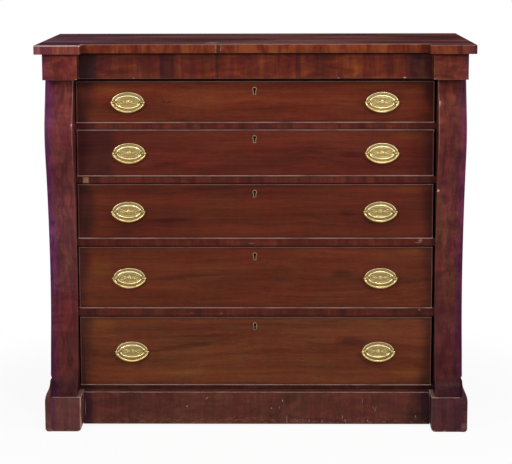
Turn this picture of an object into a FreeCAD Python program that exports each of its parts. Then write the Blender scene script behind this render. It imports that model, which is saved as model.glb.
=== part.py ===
import FreeCAD, Part
import os
from math import atan2, degrees
from FreeCAD import Vector

# Block front chest of five graduated drawers, in millimetres.
# Frame: the origin is on the floor under the centre of the top board,
# +X to the right of a person facing the drawers, +Y to the back, +Z up.
# Everything in front of the posts is placed by how far it stands forward of the post face.

# Carcase
case_width = 1150.0            # over the end frames
case_depth = 440.0             # front post face to the back
front_post_width = 73.0
front_post_depth = 70.0
rear_post_width = 60.0
rear_post_depth = 60.0

# Front, measured forward of the post face
face_forward = 6.0             # rails and drawer faces
frieze_forward = 35.0
frieze_block_forward = 85.0
foot_block_forward = 89.5
skirt_forward = 35.0

# Top board
top_thickness = 25.0
top_side_overhang = 20.0       # beyond the frieze blocks
top_front_overhang = 20.0      # beyond the frieze and its blocks
top_return_overhang = 12.0     # where the edge steps back beside each block
top_back_overhang = 15.0
top_edge_radius = 1.5

# Blocks, pilasters and base
pilaster_proud = 4.0           # pilaster side beyond the end frame
frieze_block_proud = 5.0       # frieze block side beyond the end frame
frieze_block_lap = 16.0        # frieze block over the drawer opening
foot_block_lap = 12.0          # foot block over the drawer opening
block_edge_radius = 1.2
foot_height = 100.0
foot_edge_radius = 3.0
skirt_floor_gap = 6.0
plinth_thickness = 16.0
plinth_height = 147.0
plinth_ogee_height = 63.0
plinth_toe_radius = 9.0

# Front curve of a pilaster: how far it stands forward, and at which height over the foot
pilaster_neck_forward = 33.0
pilaster_crown_forward = 74.5
pilaster_crown_height = 745.0
pilaster_waist_forward = 13.0
pilaster_waist_height = 325.0
pilaster_ankle_forward = 56.0
pilaster_ankle_height = 31.0

# Rails and the stack of drawers, lists from the top drawer down
bottom_rail_reveal = 11.0      # bottom rail seen above the skirt
bottom_rail_thickness = 20.0
divider_thicknesses = [16.0, 20.0, 21.0, 22.5]
divider_depth = 76.0
top_rail_height = 78.5
top_rail_depth = 26.0
frieze_reveal = 7.5            # top rail seen below the frieze
tenon_length = 12.0
tenon_inset = 3.5              # shoulder above and below a tenon
tenon_depth_inset = 6.0        # shoulder before and behind a tenon

# End frames and back
frame_rail_thickness = 25.0
end_top_rail_height = 100.0
end_bottom_rail_height = 150.0
end_bottom_rail_floor_gap = 20.0
end_panel_thickness = 10.0
end_panel_setback = 8.0
panel_tongue = 8.0
back_board_thickness = 10.0
back_board_count = 5
back_board_joint = 0.4
back_board_floor_gap = 60.0
back_rabbet = 10.0
back_rail_thickness = 20.0
back_rail_height = 70.0

# Runners, guides, stops and glue blocks
runner_width = 76.0
runner_thickness = 16.0
guide_height = 12.0
guide_clearance = 1.0
kicker_width = 31.0
kicker_clearance = 1.0
kicker_thickness = 20.0
stop_length = 50.0
stop_width = 24.0
stop_height = 7.0
stop_inset = 202.0             # from the side of the drawer opening
stop_clearance = 0.3
glue_block_size = 30.0
glue_block_length = 60.0
glue_block_height = 55.0
glue_block_end_gap = 37.0
glue_block_count = 4

# Drawers
drawer_heights = [117.0, 131.5, 155.0, 176.5, 199.0]
drawer_gap_left = 3.5
drawer_gap_right = 6.5
drawer_gap_below = 0.5
drawer_gap_above = 1.5
drawer_rear_gap = 13.0          # between the drawer and the back rails
front_thickness = 22.0
side_thickness = 12.0
side_run_clearance = 0.3       # side edge above the runner
side_top_drop = 5.0            # sides lower than the front
back_thickness = 12.0
back_top_drop = 4.0            # back lower than the sides
bottom_thickness = 8.0
bottom_height = 12.0           # underside of the bottom over the side edge
bottom_groove = 5.0
dovetail_pitch = 34.0
dovetail_share = 0.56          # tail width at its root, as a share of the pitch
dovetail_flare = 2.0           # what a tail gains on each side
tail_bead_gap = 3.0            # wood between the front dovetails and the cockbead

# Cockbead
bead_thickness = 3.2
bead_depth = 8.0
bead_proud = 2.0

# Pulls: centres in from the sides of the drawer opening, lists from the top drawer down
pull_inset_left = [147.5, 149.5, 145.0, 145.5, 150.0]
pull_inset_right = [151.5, 150.5, 154.0, 152.0, 156.5]
plate_end_margin = 7.5         # plate beyond the middle of a post
plate_height = 56.0
plate_thickness = 1.2
ring_post_gap = 0.8
ring_height = 35.0
ring_wall = 4.0
ring_proud = 2.0
medallion_width = 40.0
medallion_height = 18.0
medallion_proud = 1.2
post_spacing = 76.0
post_head_radius = 3.2
post_nose = 4.0                # post head beyond the pivot line
post_shank_radius = 2.5
post_clearance = 0.1
post_tail = 8.0                # shank behind the drawer front
nut_radius = 5.5
nut_thickness = 3.5

# Bails
bail_standoff = 9.0            # pivot line in front of the drawer face
bail_rod_radius = 2.6
bail_knop_gap = 0.6            # knop beside the post head
bail_drop = 26.3
bail_corner_radius = 14.0
bail_pin_radius = 1.6
bail_pin_clearance = 0.3
bail_knop_radius = 3.2
bail_tip_length = 3.8
bail_tip_radius = 1.0

# Locks
lock_x = -3.0
keyhole_drop = 27.0            # middle of the keyhole below the drawer's top
lock_width = 64.0
lock_height = 45.0
lock_bead_gap = 2.0            # wood between the lock and the cockbead
bolt_width = 20.0
bolt_depth = 6.0
bolt_length = 20.0
bolt_throw = 8.0
bolt_clearance = 0.3
mortise_clearance = 1.5
key_chamber_radius = 6.5
key_pin_radius = 1.2
escutcheon_height = 21.4
escutcheon_head_radius = 6.2
escutcheon_leg_width = 8.4
escutcheon_wall = 1.8
escutcheon_depth = 3.0
escutcheon_proud = 0.3

# Places worked out from the sizes above
bottom_rail_top = foot_height + bottom_rail_reveal
front_tail_length = front_thickness - bead_depth - tail_bead_gap
lock_depth = front_thickness - bead_depth - lock_bead_gap
case_x = case_width / 2
opening_x = case_x - front_post_width
frieze_block_outer = case_x + frieze_block_proud
frieze_block_inner = opening_x - frieze_block_lap
foot_block_inner = opening_x - foot_block_lap
top_x = frieze_block_outer + top_side_overhang
total_depth = top_back_overhang + case_depth + frieze_block_forward + top_front_overhang
back_y = total_depth / 2 - top_back_overhang
post_y = back_y - case_depth
face_y = post_y - face_forward
divider_back = face_y + divider_depth
rear_post_y = back_y - rear_post_depth
frame_rail_x = case_x - frame_rail_thickness
rear_post_x = case_x - rear_post_width
back_rail_y = back_y - back_board_thickness - back_rail_thickness
front_back_y = face_y + front_thickness
drawer_left = -opening_x + drawer_gap_left
drawer_right = opening_x - drawer_gap_right
drawer_back_y = back_rail_y - drawer_rear_gap
pivot_y = face_y - bail_standoff
plate_width = post_spacing + 2 * plate_end_margin
ring_width = post_spacing - 2 * (post_head_radius + ring_post_gap)
post_head_length = bail_standoff - plate_thickness + post_nose
bail_half_span = post_spacing / 2 + post_head_radius + bail_knop_gap + bail_knop_radius


def drawer_stack():
    """Lowest and highest Z of each drawer front, from the top drawer down, and the rails' Z."""
    drawers = []
    rails = [(bottom_rail_top - bottom_rail_thickness, bottom_rail_top)]
    dividers = [0.0] + divider_thicknesses
    for height, divider in zip(reversed(drawer_heights), reversed(dividers)):
        low = rails[-1][1] + drawer_gap_below
        high = low + height
        drawers.append((low, high))
        rails.append((high + drawer_gap_above, high + drawer_gap_above + divider))
    top_rail_low = rails.pop()[0]
    return drawers[::-1], rails, top_rail_low


drawer_levels, rail_levels, top_rail_low = drawer_stack()
case_top = top_rail_low + top_rail_height
frieze_low = top_rail_low + frieze_reveal


def box(x0, x1, y0, y1, z0, z1):
    """Block between two corners."""
    return Part.makeBox(x1 - x0, y1 - y0, z1 - z0, Vector(x0, y0, z0))


def cylinder(radius, start, end):
    """Round bar from one point to another."""
    axis = end.sub(start)
    return Part.makeCylinder(radius, axis.Length, start, axis)


def prism(points, direction):
    """Closed outline pushed along a direction."""
    return Part.Face(Part.makePolygon(points + points[:1])).extrude(direction)


def mirrored(shape):
    """The same piece on the other side of the chest."""
    return shape.mirror(Vector(0, 0, 0), Vector(1, 0, 0))


def fused(shapes):
    """One solid from several that touch or overlap."""
    return shapes[0].fuse(shapes[1:]).removeSplitter()


def both_sides(solids):
    """The right-hand solids and their mirror images."""
    return solids + [mirrored(solid) for solid in solids]


def save(name, solids):
    """Write one node; several solids go in as a group."""
    shape = solids[0] if len(solids) == 1 else Part.makeCompound(solids)
    shape.exportStep("parts/%s.step" % name)


def edges_along(solid, direction, keep):
    """Straight edges parallel to a direction whose middle passes a test."""
    chosen = []
    for edge in solid.Edges:
        span = edge.lastVertex().Point.sub(edge.firstVertex().Point)
        straight = span.Length > 0 and span.cross(direction).Length < 0.001 * span.Length
        if straight and keep(edge.CenterOfMass):
            chosen.append(edge)
    return chosen


# Carcase

def top_board():
    """Flat board whose front steps forward over each frieze block."""
    front = post_y - frieze_block_forward - top_front_overhang
    middle = post_y - frieze_forward - top_front_overhang
    back = back_y + top_back_overhang
    step = frieze_block_inner - top_return_overhang
    outline = [(-top_x, back), (-top_x, front), (-step, front), (-step, middle),
               (step, middle), (step, front), (top_x, front), (top_x, back)]
    board = prism([Vector(x, y, case_top) for x, y in outline], Vector(0, 0, top_thickness))
    return board.makeFillet(top_edge_radius, board.Edges)


def block(outer, inner, forward, low, high):
    """Right-hand front block: a square block notched round the rail beside the opening."""
    front = post_y - forward
    outline = [(inner, front), (outer, front), (outer, post_y),
               (opening_x, post_y), (opening_x, face_y), (inner, face_y)]
    return prism([Vector(x, y, low) for x, y in outline], Vector(0, 0, high - low))


def frieze_block():
    """Block of the frieze above the right pilaster."""
    solid = block(frieze_block_outer, frieze_block_inner, frieze_block_forward, frieze_low, case_top)
    middle_y = solid.BoundBox.Center.y
    edges = edges_along(solid, Vector(0, 0, 1), lambda p: p.y < middle_y)
    return solid.makeFillet(block_edge_radius, edges)


def foot_block():
    """Block under the right pilaster, on the floor."""
    solid = block(case_x, foot_block_inner, foot_block_forward, 0, foot_height)
    middle = solid.BoundBox.Center
    edges = edges_along(solid, Vector(0, 0, 1), lambda p: p.y < middle.y and p.x < middle.x)
    return solid.makeFillet(foot_edge_radius, edges)


def pilaster_curve():
    """Points of the front curve, from the neck down to the toe, as (forward, height)."""
    height = frieze_low - foot_height
    fall = pilaster_crown_height - pilaster_waist_height
    slack = pilaster_crown_forward - pilaster_waist_forward
    run = pilaster_waist_height - pilaster_ankle_height
    rise = pilaster_ankle_forward - pilaster_waist_forward
    neck_rise = pilaster_crown_forward - pilaster_neck_forward
    return [
        (pilaster_neck_forward, height),
        (pilaster_crown_forward - 0.55 * neck_rise, height - 0.42 * (height - pilaster_crown_height)),
        (pilaster_crown_forward, pilaster_crown_height),
        (pilaster_crown_forward - 0.29 * slack, pilaster_crown_height - 0.25 * fall),
        (pilaster_crown_forward - 0.75 * slack, pilaster_crown_height - 0.58 * fall),
        (pilaster_waist_forward, pilaster_waist_height),
        (pilaster_waist_forward + 0.17 * rise, pilaster_waist_height - 0.42 * run),
        (pilaster_waist_forward + 0.60 * rise, pilaster_waist_height - 0.78 * run),
        (pilaster_ankle_forward, pilaster_ankle_height),
        (foot_block_forward, 0.0),
    ]


def pilaster():
    """Right pilaster: an S-curved front on a flat back, scribed over the side plinth."""
    points = []
    for forward, height in pilaster_curve():
        points.append(Vector(opening_x, post_y - forward, foot_height + height))
    curve = Part.BSplineCurve()
    curve.interpolate(points)
    top_back = Vector(opening_x, post_y, frieze_low)
    low_back = Vector(opening_x, post_y, foot_height)
    edges = [curve.toShape(), Part.makeLine(points[-1], low_back),
             Part.makeLine(low_back, top_back), Part.makeLine(top_back, points[0])]
    face = Part.Face(Part.Wire(edges))
    solid = face.extrude(Vector(front_post_width + pilaster_proud, 0, 0))
    return solid.cut(side_plinth())


def side_plinth():
    """Right side plinth: ogee along the top edge, rounded toe, from the foot's face to the back."""
    front = post_y - foot_block_forward
    outer = case_x + plinth_thickness
    half_x = plinth_thickness / 2
    half_z = plinth_ogee_height / 2
    radius = (half_x ** 2 + half_z ** 2) / (2 * half_x)
    bow = radius - (radius ** 2 - (half_z / 2) ** 2) ** 0.5
    shoulder = plinth_height - plinth_ogee_height
    middle = Vector(case_x + half_x, front, shoulder + half_z)
    toe = plinth_toe_radius
    toe_mid = toe * (1 - 0.5 ** 0.5)
    top = Vector(case_x, front, plinth_height)
    corner = Vector(case_x, front, 0)
    edges = [
        Part.makeLine(top, corner),
        Part.makeLine(corner, Vector(outer - toe, front, 0)),
        Part.Arc(Vector(outer - toe, front, 0), Vector(outer - toe_mid, front, toe_mid),
                 Vector(outer, front, toe)).toShape(),
        Part.makeLine(Vector(outer, front, toe), Vector(outer, front, shoulder)),
        Part.Arc(Vector(outer, front, shoulder), Vector(outer - bow, front, shoulder + half_z / 2),
                 middle).toShape(),
        Part.Arc(middle, Vector(case_x + bow, front, plinth_height - half_z / 2), top).toShape(),
    ]
    return Part.Face(Part.Wire(edges)).extrude(Vector(0, back_y - front, 0))


def board_between(half_span, forward, low, high):
    """Facing board in front of the rails, centred on the chest."""
    return box(-half_span, half_span, post_y - forward, face_y, low, high)


def end_panel():
    """Right end panel, with its tongues in the grooves of the frame round it."""
    outer = case_x - end_panel_setback
    low = end_bottom_rail_floor_gap + end_bottom_rail_height - panel_tongue
    high = case_top - end_top_rail_height + panel_tongue
    return box(outer - end_panel_thickness, outer, post_y + front_post_depth - panel_tongue,
               rear_post_y + panel_tongue, low, high)


def end_frame_rails():
    """Top and bottom rails of the right end frame, grooved for the panel."""
    front = post_y + front_post_depth
    low = end_bottom_rail_floor_gap
    top = box(frame_rail_x, case_x, front, rear_post_y, case_top - end_top_rail_height, case_top)
    bottom = box(frame_rail_x, case_x, front, rear_post_y, low, low + end_bottom_rail_height)
    return [rail.cut(end_panel()) for rail in (top, bottom)]


def back_rails():
    """Two rails across the back, between the rear posts."""
    rails = []
    for low in (back_board_floor_gap, case_top - back_rail_height):
        rails.append(box(-rear_post_x, rear_post_x, back_rail_y, back_rail_y + back_rail_thickness,
                         low, low + back_rail_height))
    return rails


def back_boards():
    """Upright boards nailed to the back rails, held in the rear posts' rabbets."""
    half = rear_post_x + back_rabbet
    pitch = 2 * half / back_board_count
    boards = []
    for index in range(back_board_count):
        left = -half + index * pitch
        boards.append(box(left + back_board_joint / 2, left + pitch - back_board_joint / 2,
                          back_y - back_board_thickness, back_y, back_board_floor_gap, case_top))
    return boards


def tenons(low, high, back):
    """The two tenons of a rail, one into each front post."""
    front = face_y + face_forward + tenon_depth_inset
    right = box(opening_x, opening_x + tenon_length, front, back - tenon_depth_inset,
                low + tenon_inset, high - tenon_inset)
    return [right, mirrored(right)]


def rail_tenons():
    """Every tenon that enters the front posts."""
    found = tenons(top_rail_low, case_top, face_y + top_rail_depth)
    for low, high in rail_levels:
        found += tenons(low, high, divider_back)
    return found


def corner_posts():
    """Front and rear posts, mortised for the rails, grooved for the end panels."""
    front = box(opening_x, case_x, post_y, post_y + front_post_depth, 0, case_top)
    rear = box(rear_post_x, case_x, rear_post_y, back_y, 0, case_top)
    rabbet = box(rear_post_x, rear_post_x + back_rabbet, back_y - back_board_thickness, back_y,
                 back_board_floor_gap, case_top)
    right = [front.cut(end_panel()).cut(rail_tenons()), rear.cut(end_panel()).cut(rabbet)]
    return both_sides(right)


def bolt_mortise(rail_low):
    """Slot in the underside of a rail, for the bolt of the lock below it."""
    half = bolt_width / 2 + mortise_clearance
    middle = bolt_middle_y()
    half_depth = bolt_depth / 2 + mortise_clearance
    height = bolt_throw - drawer_gap_above + mortise_clearance
    return box(lock_x - half, lock_x + half, middle - half_depth, middle + half_depth,
               rail_low, rail_low + height)


def divider_rails():
    """Bottom rail, four dividers and top rail, each with tenons and a bolt mortise."""
    rails = []
    for index, (low, high) in enumerate(rail_levels):
        rail = fused([box(-opening_x, opening_x, face_y, divider_back, low, high)]
                     + tenons(low, high, divider_back))
        rails.append(rail.cut(bolt_mortise(low)) if index else rail)
    top_back = face_y + top_rail_depth
    top = fused([box(-opening_x, opening_x, face_y, top_back, top_rail_low, case_top)]
                + tenons(top_rail_low, case_top, top_back))
    return rails + [top.cut(bolt_mortise(top_rail_low))]


def drawer_runners():
    """Runner under each drawer side with a guide on it, and kickers over the top drawer."""
    parts = []
    for low, high in rail_levels:
        inner = frame_rail_x - runner_width
        right = box(inner, frame_rail_x, divider_back, rear_post_y, high - runner_thickness, high)
        parts += [right, mirrored(right)]
        parts.append(box(drawer_right + guide_clearance, frame_rail_x, divider_back, rear_post_y,
                         high, high + guide_height))
        parts.append(box(-frame_rail_x, drawer_left - guide_clearance, divider_back, rear_post_y,
                         high, high + guide_height))
    kicker_outer = opening_x - kicker_clearance
    kicker = box(kicker_outer - kicker_width, kicker_outer, face_y + top_rail_depth, back_rail_y,
                 top_rail_low, top_rail_low + kicker_thickness)
    return parts + [kicker, mirrored(kicker)]


def drawer_stops():
    """Two small blocks on each rail that the back of the drawer front meets."""
    front = front_back_y + stop_clearance
    stops = []
    for low, high in rail_levels:
        for x in (stop_inset - opening_x, opening_x - stop_inset):
            stops.append(box(x - stop_length / 2, x + stop_length / 2, front, front + stop_width,
                             high, high + stop_height))
    return stops


def glue_blocks():
    """Blocks in the corner between the skirt and the bottom rail."""
    high = bottom_rail_top - bottom_rail_thickness
    first = -opening_x + glue_block_end_gap
    pitch = (-2 * first - glue_block_length) / (glue_block_count - 1)
    blocks = []
    for index in range(glue_block_count):
        x = first + index * pitch
        blocks.append(box(x, x + glue_block_length, face_y, face_y + glue_block_size,
                          high - glue_block_height, high))
    return blocks


# Drawers

def tail_row(x0, x1, root_y, tip_y, low, high):
    """Row of dovetails between two heights, widening from root to tip."""
    count = max(1, int((high - low) / dovetail_pitch))
    pitch = (high - low) / count
    half_root = dovetail_share * pitch / 2
    half_tip = half_root + dovetail_flare
    tails = []
    for index in range(count):
        z = low + (index + 0.5) * pitch
        outline = [Vector(x0, root_y, z - half_root), Vector(x0, tip_y, z - half_tip),
                   Vector(x0, tip_y, z + half_tip), Vector(x0, root_y, z + half_root)]
        tails.append(prism(outline, Vector(x1 - x0, 0, 0)))
    return tails


def drawer_bottom(low):
    """Bottom board, let into the grooves of the sides and the front."""
    z = low - drawer_gap_below + side_run_clearance + bottom_height
    inner = side_thickness - bottom_groove
    return box(drawer_left + inner, drawer_right - inner, front_back_y - bottom_groove,
               drawer_back_y, z, z + bottom_thickness)


def drawer_tails(low, high):
    """All dovetails of one drawer: front rows, then rear rows."""
    side_low = low - drawer_gap_below + side_run_clearance
    side_high = high - side_top_drop
    bottom_top = side_low + bottom_height + bottom_thickness
    front = []
    rear = []
    for x0 in (drawer_left, drawer_right - side_thickness):
        x1 = x0 + side_thickness
        front.append(tail_row(x0, x1, front_back_y, front_back_y - front_tail_length, low, side_high))
        rear.append(tail_row(x0, x1, drawer_back_y - back_thickness, drawer_back_y,
                             bottom_top, side_high - back_top_drop))
    return front, rear


def drawer_box(low, high):
    """Two sides, back and bottom of one drawer."""
    side_low = low - drawer_gap_below + side_run_clearance
    side_high = high - side_top_drop
    bottom = drawer_bottom(low)
    front_tails, rear_tails = drawer_tails(low, high)
    back_inner = drawer_back_y - back_thickness
    sides = []
    for index, x0 in enumerate((drawer_left, drawer_right - side_thickness)):
        board = box(x0, x0 + side_thickness, front_back_y, back_inner, side_low, side_high)
        sides.append(fused([board] + front_tails[index] + rear_tails[index]).cut(bottom))
    back = box(drawer_left, drawer_right, back_inner, drawer_back_y,
               bottom.BoundBox.ZMax, side_high - back_top_drop)
    back = back.cut(rear_tails[0] + rear_tails[1])
    return sides + [back, bottom]


def bead_strip(start, end, across):
    """Cockbead strip with a half-round nose; across is the unit step of its thickness."""
    half = bead_thickness / 2
    centre = across * half
    nose_y = face_y - bead_proud + half
    along = end.sub(start)
    corners = [Vector(0, nose_y, 0), Vector(0, face_y + bead_depth, 0)]
    outline = [start + corners[0], start + corners[1],
               start + corners[1] + across * bead_thickness, start + corners[0] + across * bead_thickness]
    nose_start = start + Vector(0, nose_y, 0) + centre
    return fused([prism(outline, along), cylinder(half, nose_start, nose_start + along)])


def cockbead(low, high):
    """Four strips round a drawer front: long ones above and below, short ones between."""
    inner_low = low + bead_thickness
    inner_high = high - bead_thickness
    up = Vector(0, 0, 1)
    right = Vector(1, 0, 0)
    return [
        bead_strip(Vector(drawer_left, 0, inner_high), Vector(drawer_right, 0, inner_high), up),
        bead_strip(Vector(drawer_left, 0, low), Vector(drawer_right, 0, low), up),
        bead_strip(Vector(drawer_left, 0, inner_low), Vector(drawer_left, 0, inner_high), right),
        bead_strip(Vector(drawer_right - bead_thickness, 0, inner_low),
                   Vector(drawer_right - bead_thickness, 0, inner_high), right),
    ]


def bead_rabbet(low, high):
    """What the cockbead takes out of the edges of a drawer front."""
    outer = box(drawer_left, drawer_right, face_y, face_y + bead_depth, low, high)
    inner = box(drawer_left + bead_thickness, drawer_right - bead_thickness, face_y,
                face_y + bead_depth, low + bead_thickness, high - bead_thickness)
    return outer.cut(inner)


def keyhole(height, head_radius, leg_width, top, front, back):
    """Keyhole-shaped plug: a round head over a straight leg."""
    middle = top - head_radius
    head = cylinder(head_radius, Vector(lock_x, front, middle), Vector(lock_x, back, middle))
    leg = box(lock_x - leg_width / 2, lock_x + leg_width / 2, front, back, top - height, middle)
    return fused([head, leg])


def escutcheon_outline(high, inset, front, back):
    """The escutcheon's outline at a drawer front, drawn in by an inset."""
    top = high - keyhole_drop + escutcheon_height / 2 - inset
    return keyhole(escutcheon_height - 2 * inset, escutcheon_head_radius - inset,
                   escutcheon_leg_width - 2 * inset, top, front, back)


def bolt_middle_y():
    """Middle of the lock bolt's thickness."""
    return front_back_y - lock_depth / 2


def bolt_block(high, grow):
    """Lock bolt at rest, or the slot it slides in when grown by a clearance."""
    half = bolt_width / 2 + grow
    half_depth = bolt_depth / 2 + grow
    middle = bolt_middle_y()
    top = high - bolt_clearance if grow == 0 else high
    return box(lock_x - half, lock_x + half, middle - half_depth, middle + half_depth,
               high - bolt_length - grow, top)


def lock_case(high):
    """Lock case, cut for its bolt and its key, with the pin that a key turns on."""
    case = box(lock_x - lock_width / 2, lock_x + lock_width / 2, front_back_y - lock_depth, front_back_y,
               high - lock_height, high)
    key_z = high - keyhole_drop
    half_depth = bolt_depth / 2 + bolt_clearance
    middle = bolt_middle_y()
    chamber = cylinder(key_chamber_radius, Vector(lock_x, middle - half_depth, key_z),
                       Vector(lock_x, middle + half_depth, key_z))
    entry = escutcheon_outline(high, escutcheon_wall, front_back_y - lock_depth, middle)
    pin = cylinder(key_pin_radius, Vector(lock_x, front_back_y - lock_depth, key_z),
                   Vector(lock_x, middle + half_depth, key_z))
    hollow = case.cut([bolt_block(high, bolt_clearance), chamber, entry])
    return fused([hollow, pin])


def escutcheon(high):
    """Brass rim let into the drawer front round the keyhole."""
    front = face_y - escutcheon_proud
    back = face_y + escutcheon_depth
    opening = escutcheon_outline(high, escutcheon_wall, front, back)
    return escutcheon_outline(high, 0, front, back).cut(opening)


def pull_post(x, z, grow):
    """Post of a pull from its head to its threaded tail, or the hole for its shank."""
    plate_y = face_y - plate_thickness
    tail_y = front_back_y + post_tail
    shank = cylinder(post_shank_radius + grow, Vector(x, plate_y, z), Vector(x, tail_y, z))
    if grow:
        return shank
    head = cylinder(post_head_radius, Vector(x, plate_y - post_head_length, z), Vector(x, plate_y, z))
    hole = cylinder(bail_pin_radius + bail_pin_clearance, Vector(x - post_head_radius, pivot_y, z),
                    Vector(x + post_head_radius, pivot_y, z))
    return fused([head, shank]).cut(hole)


def pull_centres(number):
    """X of the left and the right pull of a drawer."""
    return pull_inset_left[number] - opening_x, opening_x - pull_inset_right[number]


def post_places(number, high, low):
    """Centres of the four posts on one drawer, as (x, z)."""
    z = (high + low) / 2
    places = []
    for centre in pull_centres(number):
        places += [(centre - post_spacing / 2, z), (centre + post_spacing / 2, z)]
    return places


def oval(x, z, width, height, front, back):
    """Elliptical disc facing forward."""
    ellipse = Part.Ellipse(Vector(x, front, z), width / 2, height / 2)
    ellipse.Axis = Vector(0, -1, 0)
    ellipse.XAxis = Vector(1, 0, 0)
    return Part.Face(Part.Wire(ellipse.toShape())).extrude(Vector(0, back - front, 0))


def pull_plate(x, z):
    """Oval plate with a raised ring and a raised medallion, drilled for its posts."""
    plate_y = face_y - plate_thickness
    ring_y = plate_y - ring_proud
    plate = oval(x, z, plate_width, plate_height, plate_y, face_y)
    ring = oval(x, z, ring_width, ring_height, ring_y, plate_y)
    ring = ring.cut(oval(x, z, ring_width - 2 * ring_wall, ring_height - 2 * ring_wall, ring_y, plate_y))
    medallion = oval(x, z, medallion_width, medallion_height, plate_y - medallion_proud, plate_y)
    holes = [pull_post(x + side * post_spacing / 2, z, post_clearance) for side in (-1, 1)]
    return fused([plate, ring, medallion]).cut(holes)


def pull_plates(number, low, high):
    """Both plates of a drawer with their posts and the nuts behind the front."""
    z = (high + low) / 2
    solids = [pull_plate(x, z) for x in pull_centres(number)]
    for x, z in post_places(number, high, low):
        solids.append(pull_post(x, z, 0))
        nut = cylinder(nut_radius, Vector(x, front_back_y, z), Vector(x, front_back_y + nut_thickness, z))
        solids.append(nut.cut(pull_post(x, z, post_clearance)))
    return solids


def bail(x, z):
    """Bail: a three-arc drop between two knops, with pivot pins through the posts."""
    corner = bail_corner_radius
    span = bail_half_span - corner
    radius = (span ** 2 + bail_drop ** 2 - corner ** 2) / (2 * (bail_drop - corner))
    sweep = degrees(atan2(span, radius - bail_drop))
    turn = Vector(0, 1, 0)
    big_centre = Vector(x, pivot_y, z + radius - bail_drop)
    low_face = Part.Face(Part.Wire(Part.makeCircle(bail_rod_radius, Vector(x, pivot_y, z - bail_drop),
                                                   Vector(1, 0, 0))))
    low_face.rotate(big_centre, turn, -sweep)
    solids = [low_face.revolve(big_centre, turn, 2 * sweep)]
    for side in (-1, 1):
        end = Vector(x + side * bail_half_span, pivot_y, z)
        centre = Vector(x + side * span, pivot_y, z)
        end_face = Part.Face(Part.Wire(Part.makeCircle(bail_rod_radius, end, Vector(0, 0, 1))))
        solids.append(end_face.revolve(centre, turn, side * (90 - sweep)))
        solids.append(Part.makeSphere(bail_knop_radius, end))
        pin_end = Vector(x + side * (post_spacing / 2 - post_head_radius), pivot_y, z)
        solids.append(cylinder(bail_pin_radius, pin_end, end))
        solids.append(Part.makeCone(bail_rod_radius, bail_tip_radius, bail_tip_length, end,
                                    Vector(side, 0, 0)))
    return fused(solids)


def drawer_front(number, low, high):
    """Front board, cut for its bead, dovetails, bottom, lock, keyhole and pull posts."""
    board = box(drawer_left, drawer_right, face_y, front_back_y, low, high)
    front_tails, rear_tails = drawer_tails(low, high)
    lock_space = box(lock_x - lock_width / 2, lock_x + lock_width / 2, front_back_y - lock_depth,
                     front_back_y, high - lock_height, high)
    cuts = [bead_rabbet(low, high), drawer_bottom(low), lock_space,
            escutcheon_outline(high, 0, face_y, face_y + escutcheon_depth),
            escutcheon_outline(high, escutcheon_wall, face_y, front_back_y)]
    cuts += front_tails[0] + front_tails[1]
    cuts += [pull_post(x, z, post_clearance) for x, z in post_places(number, high, low)]
    return board.cut(cuts)


def save_drawer(number, low, high):
    """Write the nodes of one drawer."""
    name = "drawer_%d_" % (number + 1)
    z = (low + high) / 2
    save(name + "front", [drawer_front(number, low, high)])
    save(name + "box", drawer_box(low, high))
    save(name + "cockbead", cockbead(low, high))
    save(name + "pull_plates", pull_plates(number, low, high))
    left, right = pull_centres(number)
    save(name + "bail_left", [bail(left, z)])
    save(name + "bail_right", [bail(right, z)])
    save(name + "lock", [lock_case(high), escutcheon(high)])
    save(name + "lock_bolt", [bolt_block(high, 0)])


def save_pair(name, solid):
    """Write a right-hand piece and its left-hand mirror image."""
    save(name + "_right", [solid])
    save(name + "_left", [mirrored(solid)])


os.makedirs("parts", exist_ok=True)
save("top_board", [top_board()])
save("frieze_center", [board_between(frieze_block_inner, frieze_forward, frieze_low, case_top)])
save("base_skirt", [board_between(foot_block_inner, skirt_forward, skirt_floor_gap, foot_height)])
save_pair("frieze_block", frieze_block())
save_pair("foot_block", foot_block())
save_pair("pilaster", pilaster())
save_pair("side_plinth", side_plinth())
save_pair("end_panel", end_panel())
save("corner_posts", corner_posts())
save("frame_rails", both_sides(end_frame_rails()) + back_rails())
save("divider_rails", divider_rails())
save("drawer_runners", drawer_runners())
save("drawer_stops", drawer_stops())
save("glue_blocks", glue_blocks())
save("back_boards", back_boards())
for number, (low, high) in enumerate(drawer_levels):
    save_drawer(number, low, high)
print("drawer fronts", drawer_levels, "case top", case_top, "total depth", total_depth)
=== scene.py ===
from functools import partialmethod
from math import cos, pi, radians, sin

import bpy
import numpy as np
from mathutils import Matrix, Vector


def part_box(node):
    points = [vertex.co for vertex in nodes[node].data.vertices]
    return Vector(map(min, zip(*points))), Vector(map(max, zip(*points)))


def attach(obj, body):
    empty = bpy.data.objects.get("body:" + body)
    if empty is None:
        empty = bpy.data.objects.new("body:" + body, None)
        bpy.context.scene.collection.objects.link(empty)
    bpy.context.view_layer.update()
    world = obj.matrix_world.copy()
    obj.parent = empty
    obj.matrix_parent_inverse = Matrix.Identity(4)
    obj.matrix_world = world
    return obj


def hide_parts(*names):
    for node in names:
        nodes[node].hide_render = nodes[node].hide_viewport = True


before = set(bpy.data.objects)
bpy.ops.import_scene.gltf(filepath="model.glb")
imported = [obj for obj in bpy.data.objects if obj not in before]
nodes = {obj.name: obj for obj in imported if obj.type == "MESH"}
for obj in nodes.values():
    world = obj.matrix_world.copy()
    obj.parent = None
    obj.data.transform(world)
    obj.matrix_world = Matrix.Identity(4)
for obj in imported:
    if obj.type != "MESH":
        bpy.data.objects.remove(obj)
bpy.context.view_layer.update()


# Case frame
# Four square posts and the rails of the end frames are solid mahogany, mortised and tenoned
# together; a thin panel floats in the grooves of each end. The finish is old shellac.

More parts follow.
